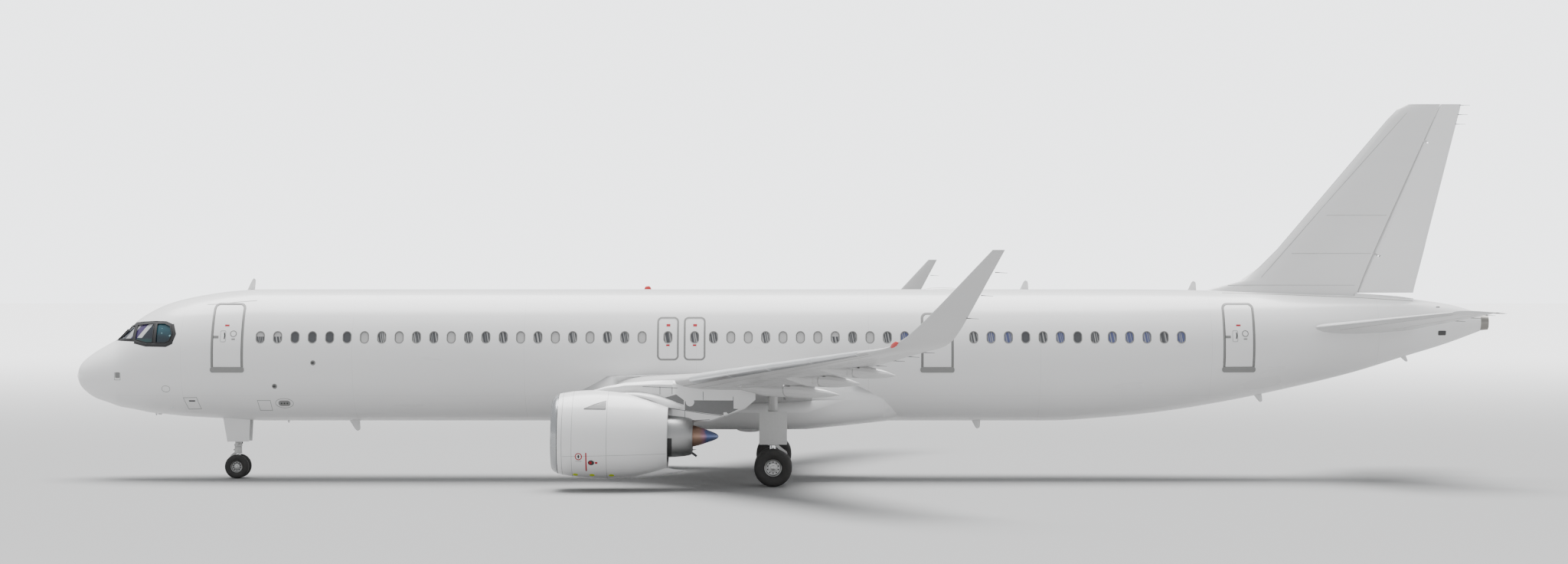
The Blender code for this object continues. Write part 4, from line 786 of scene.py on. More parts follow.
def make_fuselage():
    outer = painted(fuselage_solid(), WHITE)
    pockets = bmesh.new()
    for name, front, rear, top in DOORS:
        prism_y(pockets, door_outline(front, rear, top, 0.012), -3, 3)
    holes = boolean(painted(pockets, GAP), painted(fuselage_solid(DOOR_SKIN), GAP), "DIFFERENCE")
    cargo = bmesh.new()
    for name, front, rear in CARGO_DOORS:
        cargo_wedge(cargo, front, rear, CLEAR, CLEAR, FIT)
    cargo = boolean(painted(cargo, LINER), painted(fuselage_solid(DOOR_SKIN + CLEAR), LINER), "DIFFERENCE")
    windows = bmesh.new()
    for x, look in window_places():
        prism_y(windows, window_outline(x), -3, 3)
    windows = boolean(painted(windows, GAP), painted(fuselage_solid(WINDOW_DEPTH), GAP), "DIFFERENCE")
    band = prism_y(bmesh.new(), GLASS_BAND, -3, 3)
    band = boolean(painted(band, GAP), painted(fuselage_solid(BAND_DEPTH), GAP), "DIFFERENCE")
    bay = box(bmesh.new(), (4.62, -0.33, -3), (5.52, 0.33, -1.50))
    x, z = TAIL_PIVOT
    rod(bay, (x, -2, z), (x, 2, z), TAIL_TUBE + 0.004, 32)
    skin = outer
    for tool in (holes, cargo, windows, band, painted(bay, LINER)):
        skin = boolean(skin, tool, "DIFFERENCE")
    body = finish("fuselage_skin", skin, None, "airframe", ("fuselage",), "white_paint")
    round_on_skin(body.data)
    for side, word in SIDES:
        for name, front, rear, top in DOORS:
            panel = painted(prism_y(bmesh.new(), door_outline(front, rear, top), *sorted((side * 0.3, side * 3))), GAP)
            panel = boolean(panel, painted(fuselage_solid(), WHITE), "INTERSECT")
            panel = boolean(panel, painted(fuselage_solid(DOOR_SKIN - 0.01), GAP), "DIFFERENCE")
            piece = finish("{}_{}_panel".format(name, word), panel, None, "airframe", (name + "_" + word,), "white_paint")
            round_on_skin(piece.data)
    for name, front, rear in CARGO_DOORS:
        panel = boolean(painted(cargo_wedge(bmesh.new(), front, rear), GAP), painted(fuselage_solid(), WHITE), "INTERSECT")
        panel = boolean(panel, painted(fuselage_solid(DOOR_SKIN), LINER), "DIFFERENCE")
        piece = finish(name + "_panel", panel, None, name, (name,), "white_paint")
        round_on_skin(piece.data)
    return body


def offset(path, distance, closed):
    """A side-view path of (x, z) points moved to its left by the distance."""
    count = len(path)
    moved = []
    for i, (x, z) in enumerate(path):
        before = path[i - 1] if closed or i else path[i]
        after = path[(i + 1) % count] if closed or i < count - 1 else path[i]
        first, second = Vector((x - before[0], z - before[1])), Vector((after[0] - x, after[1] - z))
        first = (first if first.length else second).normalized()
        second = (second if second.length else first).normalized()
        along = (first + second).normalized()
        spread = max(0.5, along.dot(first))
        moved.append((x - along.y * distance / spread, z + along.x * distance / spread))
    return moved


def divided(path, pitch, closed=False):
    """The same path with points no further apart than the pitch."""
    ends = path[1:] + path[:1] if closed else path[1:]
    found = []
    for (x, z), (x2, z2) in zip(path, ends):
        count = max(1, math.ceil(math.hypot(x2 - x, z2 - z) / pitch))
        found += [(lerp(x, x2, k / count), lerp(z, z2, k / count)) for k in range(count)]
    return found if closed else found + [path[-1]]


def ribbon(bm, at, path, width, closed=False, lift=0.005, pitch=0.12):
    """A low raised strip along a path, laid on the surface that at(u, v, lift) gives."""
    path = divided(list(path), pitch, closed)
    lines = []
    for shift, rise in ((-0.5, -lift), (-0.42, lift), (0.42, lift), (0.5, -lift)):
        lines.append([at(u, v, rise) for u, v in offset(path, shift * width, closed)])
    rings = [list(points) for points in zip(*lines)]
    if closed:
        rings.append(rings[0])
        loft(bm, rings, caps=False)
        bmesh.ops.remove_doubles(bm, verts=bm.verts, dist=0.00001)
    else:
        loft(bm, rings)
    return bm


def patch(bm, at, outline, lift=0.005, depth=0.012, pitch=0.12):
    """A plate of the given outline that follows a surface, cut into strips so that it bends with it."""
    plate = prism_y(bmesh.new(), list(outline), 0, 1)
    for axis in (0, 2):
        places = [vertex.co[axis] for vertex in plate.verts]
        low, high = min(places), max(places)
        count = math.ceil((high - low) / pitch)
        for k in range(1, count):
            point, normal = Vector(), Vector()
            point[axis], normal[axis] = lerp(low, high, k / count), 1
            geometry = plate.verts[:] + plate.edges[:] + plate.faces[:]
            bmesh.ops.bisect_plane(plate, geom=geometry, plane_co=point, plane_no=normal)
    for vertex in plate.verts:
        vertex.co = at(vertex.co.x, vertex.co.z, lift - depth * (1 - vertex.co.y))
    shape = bpy.data.meshes.new("plate")
    solid(plate).to_mesh(shape)
    plate.free()
    bm.from_mesh(shape)
    bpy.data.meshes.remove(shape)
    return bm


def rectangle(x, z, wide, tall, radius=0.0, steps=3):
    if radius:
        return rounded((x - wide / 2, z - tall / 2), (x + wide / 2, z + tall / 2), radius, steps)
    return [(x + u * wide / 2, z + v * tall / 2) for u, v in ((-1, -1), (1, -1), (1, 1), (-1, 1))]


def ellipse(x, z, wide, tall, sides=24):
    return [(x + wide / 2 * u, z + tall / 2 * v) for u, v in arc(1, 0, 360, sides)[:-1]]


def side_of_skin(side):
    return lambda x, z, lift: skin_at(x, z, side, lift)


def setter():
    """Node group that puts one unit on every point, turned to the point's own directions."""
    group = bpy.data.node_groups.new("units_on_points", "GeometryNodeTree")
    for name, kind, way in (("Geometry", "NodeSocketGeometry", "INPUT"), ("Unit", "NodeSocketObject", "INPUT"),
                            ("Finish", "NodeSocketMaterial", "INPUT"), ("Geometry", "NodeSocketGeometry", "OUTPUT")):
        group.interface.new_socket(name, in_out=way, socket_type=kind)
    nodes = {}
    for key, kind in (("given", "NodeGroupInput"), ("unit", "GeometryNodeObjectInfo"),
                      ("out", "GeometryNodeInputNamedAttribute"), ("along", "GeometryNodeInputNamedAttribute"),
                      ("turn", "FunctionNodeAxesToRotation"), ("place", "GeometryNodeInstanceOnPoints"),
                      ("real", "GeometryNodeRealizeInstances"), ("paint", "GeometryNodeSetMaterial"),
                      ("made", "NodeGroupOutput")):
        nodes[key] = group.nodes.new(kind)
    for key in ("out", "along"):
        nodes[key].data_type = "FLOAT_VECTOR"
        nodes[key].inputs["Name"].default_value = key
    nodes["turn"].primary_axis = "Z"
    nodes["turn"].secondary_axis = "X"
    for source, output, target, socket in (
            ("given", "Geometry", "place", "Points"), ("given", "Unit", "unit", "Object"),
            ("unit", "Geometry", "place", "Instance"), ("out", "Attribute", "turn", "Primary Axis"),
            ("along", "Attribute", "turn", "Secondary Axis"), ("turn", "Rotation", "place", "Rotation"),
            ("place", "Instances", "real", "Geometry"), ("real", "Geometry", "paint", "Geometry"),
            ("given", "Finish", "paint", "Material"), ("paint", "Geometry", "made", "Geometry")):
        group.links.new(nodes[source].outputs[output], nodes[target].inputs[socket])
    return group


UNITS = setter()


def repeated(name, unit, places, material, body="airframe", facts=None, **kept):
    """The same unit at many places, each given as its origin, outward direction and direction along."""
    mesh = bpy.data.meshes.new(name)
    mesh.from_pydata([place[0] for place in places], [], [])
    for index, key in ((1, "out"), (2, "along")):
        layer = mesh.attributes.new(key, "FLOAT_VECTOR", "POINT")
        layer.data.foreach_set("vector", [c for place in places for c in place[index]])
    for key, values in (facts or {}).items():
        layer = mesh.attributes.new(key, "FLOAT", "POINT")
        layer.data.foreach_set("value", values)
    shape = bpy.data.meshes.new(name + "_unit")
    unit.to_mesh(shape)
    unit.free()
    unit = bpy.data.objects.new(name + "_unit", shape)
    points = bpy.data.objects.new(name + "_points", mesh)
    for obj in (unit, points):
        bpy.context.scene.collection.objects.link(obj)
    modifier = points.modifiers.new(name, "NODES")
    modifier.node_group = UNITS
    given = {socket.name: socket.identifier for socket in UNITS.interface.items_tree if socket.in_out == "INPUT"}
    modifier[given["Unit"]] = unit
    modifier[given["Finish"]] = material
    made = bpy.data.meshes.new_from_object(points.evaluated_get(bpy.context.evaluated_depsgraph_get()))
    for obj in (unit, points):
        bpy.data.objects.remove(obj)
    return finish(name, made, material, body, **kept)


def window_ring(shrink, z, round_size=None):
    if round_size:
        outline = ellipse(0, 0, round_size - 2 * shrink, round_size - 2 * shrink, 28)
    else:
        outline = window_outline(0, 0, WINDOW_SIZE, shrink)
    return [(u, v, z - v * v / 4) for u, v in outline]


def window_rim(round_size=None):
    steps = ((-0.010, -0.010), (-0.004, 0.005), (0.008, 0.007), (0.020, 0.002), (0.026, -0.012), (0.027, -0.04))
    return solid(loft(bmesh.new(), [window_ring(shrink, z, round_size) for shrink, z in steps], caps=False))


def window_pane(round_size=None):
    """A pane whose map runs from 0 to 1 across and up."""
    bm = bmesh.new()
    ring = [bm.verts.new(point) for point in window_ring(0.024, -0.022, round_size)]
    face = bm.faces.new(ring)
    layer = bm.loops.layers.uv.new("pane")
    wide, tall = (round_size, round_size) if round_size else WINDOW_SIZE
    for loop in face.loops:
        loop[layer].uv = (loop.vert.co.x / wide + 0.5, loop.vert.co.y / tall + 0.5)
    return bm


def make_windows():
    looks = {"p": (1.2, 0, 0), "h": (0.42, 1, 0), "d": (0, 0, 0), "s": (0, 1, 0), "b": (0, 0.6, 1)}
    aft = Vector((1, 0, 0))
    for label, places, round_size in (("cabin_window", window_places(), None), ("door_window", PORTHOLES, 0.20)):
        points, facts = [], {"shade": [], "streaks": [], "blue": [], "seed": []}
        for side, word in SIDES:
            for number, (x, look) in enumerate(places):
                point = skin_at(x, WINDOW_Z if label == "cabin_window" else PORTHOLE_Z, side)
                out = Vector(skin_normals([point])[0])
                points.append((point, out, aft * -side))
                shade, streaks, blue = looks[look]
                facts["shade"].append(shade)
                facts["streaks"].append(streaks)
                facts["blue"].append(blue)
                facts["seed"].append((number * 0.731 + (side + 1) * 0.37) % 7.0)
        repeated(label + "_panes", window_pane(round_size), points, PANE, facts=facts, slot="black_glass")
        repeated(label + "_rims", window_rim(round_size), points, RIM, slot="grey_paint")


def make_side_marks():
    """Outlines, bars and marks that lie on both sides of the fuselage."""
    greys, bars, reds, darks, lines = [bmesh.new() for i in range(5)]
    for side, word in SIDES:
        at = side_of_skin(side)
        for name, front, rear, top in DOORS:
            middle = (front + rear) / 2
            frame_line = rounded((front - 0.045, DOOR_SILL), (rear + 0.045, top + 0.035), 0.14)
            ribbon(greys, at, frame_line, 0.072, True)
            bar = rectangle(middle, -0.415, rear - front + 0.20, 0.17, 0.07, 5)
            patch(bars, at, bar, 0.022, 0.05)
            patch(reds, at, rectangle(middle - 0.02, 0.955, 0.14, 0.05))
            ribbon(darks, at, [(middle - 0.09, 0.54), (middle - 0.075, 0.64), (middle - 0.09, 0.73)], 0.04, lift=0.008)
            ribbon(lines, at, rectangle(middle - 0.13, 0.62, 0.16, 0.34, 0.03), 0.014, True)
            patch(greys, at, rectangle(middle - 0.35, 0.595, 0.16, 0.08))
            patch(greys, at, rectangle(middle + 0.19, 0.53, 0.11, 0.035))
        for x in EXITS:
            ribbon(greys, at, rounded((x - 0.31, -0.10), (x + 0.31, 1.19), 0.12), 0.06, True)
            ribbon(lines, at, rounded((x - 0.285, -0.075), (x + 0.285, 1.165), 0.10), 0.012, True)
            patch(reds, at, rectangle(x + 0.01, 0.96, 0.12, 0.07))
            patch(reds, at, rectangle(x, 0.345, 0.11, 0.05))
        # The last seam line also stands for the painted shade along the fin's joint with the fuselage.
        for path in SKIN_SEAMS_AND_SHADE_LINE:
            ribbon(lines, at, path, 0.02, lift=0.003)
        for path in NOSE_PANELS:
            ribbon(lines, at, path, 0.018, True, lift=0.003)
        for x, z, wide, tall in DARK_PLATES:
            patch(darks, at, rectangle(x, z, wide, tall, min(wide, tall) * 0.2))
        for x, z, wide, tall in GREY_PLATES:
            patch(greys, at, rectangle(x, z, wide, tall, min(wide, tall) * 0.2))
        for x, z, size in VENTS:
            patch(greys, at, ellipse(x, z, size, size))
            patch(darks, at, ellipse(x - 0.01, z, size * 0.6, size * 0.45), 0.009)
        for x, z, wide, tall in OVALS:
            ribbon(lines, at, ellipse(x, z, wide, tall), 0.014, True)
        patch(bars, at, rectangle(*DRAIN_PANEL, 0.08, 5), 0.008)
        for shift in (-0.09, 0.0, 0.09):
            patch(darks, at, ellipse(DRAIN_PANEL[0] + shift, DRAIN_PANEL[1], 0.05, 0.05, 10), 0.012)
    for name, bm, material, slot in (("door_outlines", greys, OUTLINE, "grey_paint"), ("sill_bars", bars, SILL, "bare_metal"),
                                     ("red_marks", reds, RED, "grey_paint"), ("dark_marks", darks, DARK_MARK, "dark_metal"),
                                     ("panel_lines", lines, SEAM, "grey_paint")):
        finish(name, solid(bm), material, slot=slot, sharp=50)


def lathe(bm, profile, place, sides=96, closed=True):
    """A profile of (radius, distance) turned about the axis of the given place."""
    rows = []
    angles = [2 * math.pi * k / sides for k in range(sides)]
    for radius, along in profile:
        if radius < 0.002:
            rows.append([bm.verts.new(place @ Vector((0, 0, along)))])
        else:
            ring = [Vector((radius * math.cos(a), radius * math.sin(a), along)) for a in angles]
            rows.append([bm.verts.new(place @ point) for point in ring])
    pairs = list(zip(rows, rows[1:]))
    if closed and len(rows[0]) > 1 and len(rows[-1]) > 1:
        pairs.append((rows[-1], rows[0]))
    for near, far in pairs:
        for k in range(sides):
            j = (k + 1) % sides
            if len(near) == 1:
                corners = [near[0], far[j], far[k]]
            elif len(far) == 1:
                corners = [near[k], near[j], far[0]]
            else:
                corners = [near[k], near[j], far[j], far[k]]
            bm.faces.new(corners)
    return bm


def curve_rows(rows, pitch):
    return [tuple(row) for row in smooth_rows(rows, pitch, 3)]


def engine_place(side):
    x, y, z = ENGINE
    return Matrix.Translation((x, side * y, z)) @ Matrix.Rotation(math.radians(90 + ENGINE_TILT), 4, "Y")


COWL_OUTER = curve_rows(COWL_OUTSIDE, 0.12)
CORE_OUTER = curve_rows(CORE_PROFILE[3:8], 0.12)
COWL_CURVE = np.array(COWL_OUTER)
CORE_CURVE = np.array(CORE_OUTER)


def barrel(side, curve, face):
    """Surface of a cowl seen from the side: place along the axis, height beside it, on the outboard face (1)."""
    place = engine_place(side)

    def at(along, height, lift):
        radius = float(np.interp(along, curve[:, 1], curve[:, 0])) + lift
        reach = math.sqrt(max(0.0, radius ** 2 - height ** 2))
        return place @ Vector((-height, side * face * reach, along))

    return at


def circle_band(bm, curve, start, wide, place, lift=0.004):
    """A raised ring round a cowl."""
    radius = float(np.interp(start, curve[:, 1], curve[:, 0]))
    far = float(np.interp(start + wide, curve[:, 1], curve[:, 0]))
    profile = ((radius - 0.01, start), (radius + lift, start + wide * 0.1), (far + lift, start + wide * 0.9),
               (far - 0.01, start + wide))
    return lathe(bm, profile, place)


def smooth_loft(table, section, pitch):
    rings = [section(*row) for row in smooth_rows(table, pitch, 3)]
    return loft(bmesh.new(), rings)


def keel_section(middle):
    def section(x, top, bottom, half):
        ring = []
        for u, v in arc(1, 0, -180, 12):
            ring.append((x, middle + half * u, lerp(top, bottom, 0.35) + v * (lerp(top, bottom, 0.35) - bottom)))
        return [(x, middle + half, top)] + ring + [(x, middle - half, top)]

    return section


def shoulder_section(middle, face):
    def section(x, top, bottom, outside):
        wide, tall = outside - SHOULDER_INSIDE, top - bottom
        ring = [(x, middle + face * (SHOULDER_INSIDE + wide * u), bottom + tall * v) for u, v in arc(1, 0, 90, 8)]
        return ring + [(x, middle + face * SHOULDER_INSIDE, top), (x, middle + face * SHOULDER_INSIDE, bottom)]

    return section


def along_axis(mesh, place, start, end):
    """Store how far each point lies from the start to the end of an axis."""
    to_axis = (TO_MODEL @ place).inverted()
    values = [((to_axis @ vertex.co).z - start) / (end - start) for vertex in mesh.vertices]
    mesh.attributes.new("along", "FLOAT", "POINT").data.foreach_set("value", values)


def make_cowl(side, word, place):
    middle = side * ENGINE[1]
    outside = [(r, t + (FIT if i == 0 else 0)) for i, (r, t) in enumerate(COWL_OUTER)]
    inside = [(r, t + (FIT if t == LIP_JOINT else 0)) for r, t in curve_rows(COWL_INSIDE, 0.25)]
    cowl = lathe(bmesh.new(), outside + inside, place, 112)
    cowl = painted(cowl, WHITE_PLAIN)
    tools = [smooth_loft(KEEL, keel_section(middle), 0.12)]
    for face in (LEFT, RIGHT):
        tools.append(smooth_loft(SHOULDER, shoulder_section(middle, face), 0.12))
    for tool in tools:
        cowl = boolean(cowl, painted(tool, WHITE_PLAIN), "UNION")
    finish("cowl_finish_" + word, cowl, None, "airframe", ("cowl_" + word,), "white_composite", 24)
    # Painted shade: a dark sheet laid just inside the cowl's inner wall darkens the inlet and the duct.
    duct_shade_liner = lathe(bmesh.new(), [(r - 0.003, t) for r, t in curve_rows(COWL_INSIDE, 0.25)]
                  + [(r - 0.010, t) for r, t in curve_rows(COWL_INSIDE, 0.25)[::-1]], place)
    finish("duct_liner_" + word, solid(duct_shade_liner), DARK_METAL, slot="dark_metal")
    edge = [(r, t) for r, t in curve_rows(LIP_PROFILE, 0.03) if r > 1.0 and t > 0.19]
    band = [(r + 0.004, t) for r, t in edge] + [(r - 0.01, t) for r, t in edge[::-1]]
    finish("lip_paint_" + word, solid(lathe(bmesh.new(), band, place, 112)), WHITE_PLAIN, slot="white_paint")
    lip = lathe(bmesh.new(), curve_rows(LIP_PROFILE, 0.03), place, 112)
    finish("inlet_lip_finish_" + word, solid(lip), LIP_METAL, "airframe", ("inlet_lip_" + word,), "bare_metal")


def make_core(side, word, place):
    outer = curve_rows(CORE_PROFILE[2:9], 0.08)
    profile = [CORE_PROFILE[0], CORE_PROFILE[1]] + outer + list(CORE_PROFILE[9:])
    core = lathe(bmesh.new(), profile, place)
    finish("engine_core_finish_" + word, solid(core), CORE_METAL, "airframe", ("engine_core_" + word,), "dark_metal")
    plug = lathe(bmesh.new(), [(r, t + FIT) for r, t in curve_rows(PLUG_PROFILE[1:], 0.03)], place)
    plug = finish("exhaust_plug_finish_" + word, solid(plug), PLUG_METAL, "airframe", ("exhaust_plug_" + word,), "hot_metal")
    along_axis(plug.data, place, PLUG_PROFILE[1][1], PLUG_PROFILE[-1][1])
    axis = Vector(place.col[2][:3])
    spokes = [(place @ Vector((0, 0, 1.6)), Vector((0, math.sin(a), -math.cos(a))), axis)
              for a in (2 * math.pi * (k + 0.5) / VANES for k in range(VANES))]
    repeated("outlet_vanes_" + word, blade_unit(VANE_SECTIONS), spokes, BLADE_METAL, slot="dark_metal")


def blade_unit(sections):
    """A blade that stands along its Z axis with its chord turned from its X axis."""
    rings = []
    for radius, chord, stagger, half, lean in smooth_rows(sections, BLADE_PITCH, 2):
        tilt = math.radians(stagger)
        ring = []
        for u, v in arc(1, 0, 360, 10)[:-1]:
            along, thick = u * chord / 2, v * half * (1 - 0.35 * u) + 0.10 * chord * (1 - u * u)
            ring.append((along * math.cos(tilt) - thick * math.sin(tilt) + lean,
                         along * math.sin(tilt) + thick * math.cos(tilt), radius))
        rings.append(ring)
    return solid(loft(bmesh.new(), rings))


def make_fan(side, word, place):
    axis = Vector(place.col[2][:3])
    centre = place @ Vector((0, 0, FAN_MIDDLE))
    spokes = []
    for number in range(FAN_BLADES):
        angle = 2 * math.pi * number / FAN_BLADES
        out = place.to_3x3() @ Vector((math.cos(angle), math.sin(angle), 0))
        spokes.append((centre, out, axis))
    body = "fan_" + word
    blades = repeated("fan_blades_" + word, blade_unit(BLADE_SECTIONS), spokes, BLADE_METAL, body, slot="dark_metal")
    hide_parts("fan_" + word)
    spinner = lathe(bmesh.new(), curve_rows(SPINNER_PROFILE, 0.04), place, 64)
    finish("fan_spinner_" + word, solid(spinner), SPINNER_METAL, body, slot="dark_metal")
    swirl = bmesh.new()
    path = []
    curve = np.array(curve_rows(SPINNER_PROFILE[1:4], 0.04))
    for k in range(25):
        t = lerp(0.335, 0.56, k / 24)
        radius = float(np.interp(t, curve[:, 1], curve[:, 0])) + 0.003
        path.append((radius, 5.2 * k / 24, t))
    rings = []
    for k, (radius, angle, t) in enumerate(path):
        half = 0.022 * math.sin(math.pi * (k + 0.5) / 25)
        ring = []
        for shift, rise in ((-half, -0.01), (-half, 0.003), (half, 0.003), (half, -0.01)):
            turn = angle + shift / radius
            ring.append(place @ Vector(((radius + rise) * math.cos(turn), (radius + rise) * math.sin(turn), t)))
        rings.append(ring)
    finish("spinner_swirl_" + word, solid(loft(swirl, rings)), WHITE_PLAIN, body, slot="white_paint")


def pylon_side(side, face):
    curve = np.array(PYLON)

    def at(x, z, lift):
        top, bottom, half = [float(np.interp(x, curve[:, 0], curve[:, k])) for k in (1, 2, 3)]
        rise = 2 * (z - bottom) / (top - bottom) - 1
        share = float(np.interp(rise, (-1, -0.9, 0.8, 1), (0.5, 1, 1, 0.5)))
        return Vector((x, side * ENGINE[1] + face * (half * share + lift), z))

    return at


def make_pylon_marks(side, word):
    darks, lines, whites = bmesh.new(), bmesh.new(), bmesh.new()
    for face in (LEFT, RIGHT):
        at = pylon_side(side, face)
        for outline in PYLON_DARKS:
            patch(darks, at, outline, 0.003)
        patch(whites, at, ellipse(*PYLON_NOTCH), 0.006)
        for path in PYLON_LINES:
            ribbon(lines, at, path, 0.014, lift=0.004)
    finish("pylon_darks_" + word, solid(darks), PYLON_GREY, slot="dark_metal", sharp=50)
    finish("pylon_notches_" + word, solid(whites), WHITE_PLAIN, slot="white_paint", sharp=50)
    finish("pylon_lines_" + word, solid(lines), DARK_SEAM_AND_SHADOW, slot="grey_paint", sharp=50)


def make_cowl_marks(side, word, place):
    seams, reds, darks, limes, greys = [bmesh.new() for i in range(5)]
    circle_band(darks, np.array(curve_rows(LIP_PROFILE[:4], 0.03)[::-1]), 0.185, 0.016, place, 0.006)
    for start in COWL_SEAMS:
        circle_band(seams, COWL_CURVE, start, 0.012, place, 0.002)
    for start in CORE_SEAMS:
        circle_band(darks, CORE_CURVE, start, 0.020, place, 0.003)
    for face in (LEFT, RIGHT):
        at = barrel(side, COWL_CURVE, face)
        ribbon(seams, at, [(0.36, -0.62), (3.40, -0.50)], 0.010, lift=0.002)
        core = barrel(side, CORE_CURVE, face)
        # Painted shadow: a dark plate on the lower half of the core just behind the cowl's exit, where the cowl shades
        # it.
        patch(darks, core, [(3.36, -0.05), (3.64, -0.05), (3.64, -0.57), (3.36, -0.63)], 0.006, 0.02, 0.05)
        if face == RIGHT:
            patch(greys, at, [(0.98, 0.80), (1.62, 1.03), (1.62, 0.80)], 0.006, 0.02, 0.06)
            ribbon(darks, at, [(0.98, 0.795), (1.62, 0.795)], 0.014, lift=0.012)
            ribbon(darks, at, [(0.98, 0.80), (1.30, 0.935), (1.62, 1.03), (1.62, 0.80)], 0.010, lift=0.008)
            ribbon(reds, at, [(1.07, -0.49), (1.07, -1.05)], 0.042)
            ribbon(reds, at, ellipse(0.85, -0.61, 0.19, 0.19, 20), 0.03, True)
            patch(darks, at, ellipse(0.85, -0.61, 0.05, 0.11), 0.006)
            ribbon(seams, at, [(0.76, -0.75), (0.94, -0.75)], 0.016)
            patch(darks, at, ellipse(1.22, -0.79, 0.19, 0.15), 0.005)
            patch(reds, at, ellipse(1.20, -0.79, 0.09, 0.08), 0.008)
            patch(reds, at, rectangle(1.37, -0.79, 0.07, 0.06), 0.005)
            for along in (0.73, 1.23, 1.80):
                patch(limes, at, ellipse(along, -1.18, 0.16, 0.07), 0.008)
    for name, bm, material, slot in (
            ("cowl_seams_", seams, SEAM, "grey_paint"), ("cowl_reds_", reds, RED, "grey_paint"),
            ("cowl_darks_", darks, DARK_SEAM_AND_SHADOW, "dark_metal"), ("cowl_dots_", limes, LIME, "grey_paint"),
            ("cowl_vent_", greys, VENT_GREY, "grey_paint")):
        finish(name + word, solid(bm), material, slot=slot, sharp=50)
    pipe = rod(bmesh.new(), place @ Vector((0.46, side * 0.05, 4.10)), place @ Vector((0.60, side * 0.05, 4.30)), 0.035, 20)
    finish("drain_pipe_" + word, solid(pipe), DARK_METAL, slot="dark_metal")


def make_engines():
    for side, word in SIDES:
        place = engine_place(side)
        make_cowl(side, word, place)
        make_core(side, word, place)
        make_fan(side, word, place)
        make_cowl_marks(side, word, place)
        make_pylon_marks(side, word)


def half_thickness(f, ratio):
    shape = 0.2969 * math.sqrt(f) - 0.1260 * f - 0.3516 * f ** 2 + 0.2843 * f ** 3 - 0.1036 * f ** 4
    return 5 * ratio * shape + 0.002 * f


class Foil:
    """A wing, tailplane or fin, straight between its sections."""

    def __init__(self, sections, camber=0.0, upright=False):
        self.sections = sections
        self.camber = camber
        self.upright = upright

    def at_section(self, section, f, face):
        if self.upright:
            span, lead_x, trail_x, half = section
            return Vector((lerp(lead_x, trail_x, f), face * half * half_thickness(f, 1) / 0.5))
        span, lead_x, lead_z, trail_x, incidence, ratio = section
        chord = trail_x - lead_x
        rise = self.camber * 4 * f * (1 - f) + face * half_thickness(f, ratio)
        return Vector((lead_x + chord * f, lead_z + chord * (rise - f * math.tan(math.radians(incidence)))))

    def flat_point(self, span, f, face):
        for near, far in zip(self.sections, self.sections[1:]):
            if span <= far[0] or far is self.sections[-1]:
                break
        t = (span - near[0]) / (far[0] - near[0])
        return self.at_section(near, f, face).lerp(self.at_section(far, f, face), t)

    def fraction(self, span, x):
        lead, trail = self.flat_point(span, 0, 0).x, self.flat_point(span, 1, 0).x
        return (x - lead) / (trail - lead)

    def point(self, span, f, face, side=RIGHT):
        flat = self.flat_point(span, f, face)
        return Vector((flat[0], flat[1], span)) if self.upright else Vector((flat[0], side * span, flat[1]))

    def normal(self, span, f, face, side=RIGHT):
        f = min(0.995, max(0.0015, f))
        step = min(0.004, f * 0.5)
        along = self.point(span, f + step, face, side) - self.point(span, f - step, face, side)
        out = self.point(span + 0.02, f, face, side) - self.point(span - 0.02, f, face, side)
        cross = along.cross(out).normalized()
        axis = 1 if self.upright else 2
        return cross if cross[axis] * face > 0 else -cross

    def at(self, side, face):
        """Surface seen from above (or, for the fin, from the side): x, span and lift."""
        def place(x, span, lift):
            f = min(1.0, max(0.0, self.fraction(span, x)))
            return self.point(span, f, face, side) + self.normal(span, f, face, side) * lift

        return place

    def round_off(self, mesh, limit=0.93):
        """Shade the faces that lie along the foil's skin by the skin's own directions."""
        back = TO_MODEL.inverted()
        normals = []
        for polygon in mesh.polygons:
            flat = polygon.normal
            for corner in polygon.vertices:
                x, y, z = back @ mesh.vertices[corner].co
                span, across = (z, y) if self.upright else (abs(y), z)
                side = RIGHT if y > 0 or self.upright else LEFT
                f = self.fraction(span, x)
                normal = flat
                if -0.01 < f < 1.01:
                    middle = self.flat_point(span, f if f > 0 else 0, 0)[1]
                    skin = self.normal(span, f, 1 if across > middle else -1, side)
                    if f < 0.01:
                        skin = Vector((-1, 0, 0)) + flat * 0.2
                        skin.normalize()
                    if skin.dot(flat) > limit or (f < 0.09 and skin.dot(flat) > 0.6):
                        normal = skin
                normals.append(tuple(normal))
        mesh.normals_split_custom_set(normals)


WING_FOIL = Foil(WING, WING_CAMBER)
TAIL_FOIL = Foil(TAILPLANE)
FIN_FOIL = Foil(FIN, upright=True)


def make_surfaces():
    """The wings, the tail and what hinges on them, with round-shaded skins."""
    for side, word in SIDES:
        wing = refined("wing_" + word, "airframe", WING_GREY, "grey_paint")
        WING_FOIL.round_off(wing.data)
        for name in ("flap_inner_", "flap_outer_", "aileron_", "spoiler_"):
            piece = refined(name + word, name + word, WING_GREY, "grey_composite")
            WING_FOIL.round_off(piece.data)
        piece = refined("elevator_" + word, "elevator_" + word, TAIL_WHITE, "grey_composite")
        TAIL_FOIL.round_off(piece.data)
        refined("pylon_" + word, "airframe", WHITE_PLAIN, "white_composite", 40)
        make_winglet(side, word)
    tailplane = refined("tailplane", "tailplane", TAIL_WHITE, "grey_composite")
    TAIL_FOIL.round_off(tailplane.data)
    for name, body in (("fin", "airframe"), ("rudder", "rudder")):
        piece = refined(name, body, FIN_WHITE if name == "fin" else RUDDER_WHITE, "white_composite")
        FIN_FOIL.round_off(piece.data)
    refined("belly_fairing", "airframe", WHITE_PLAIN, "white_composite", 40)


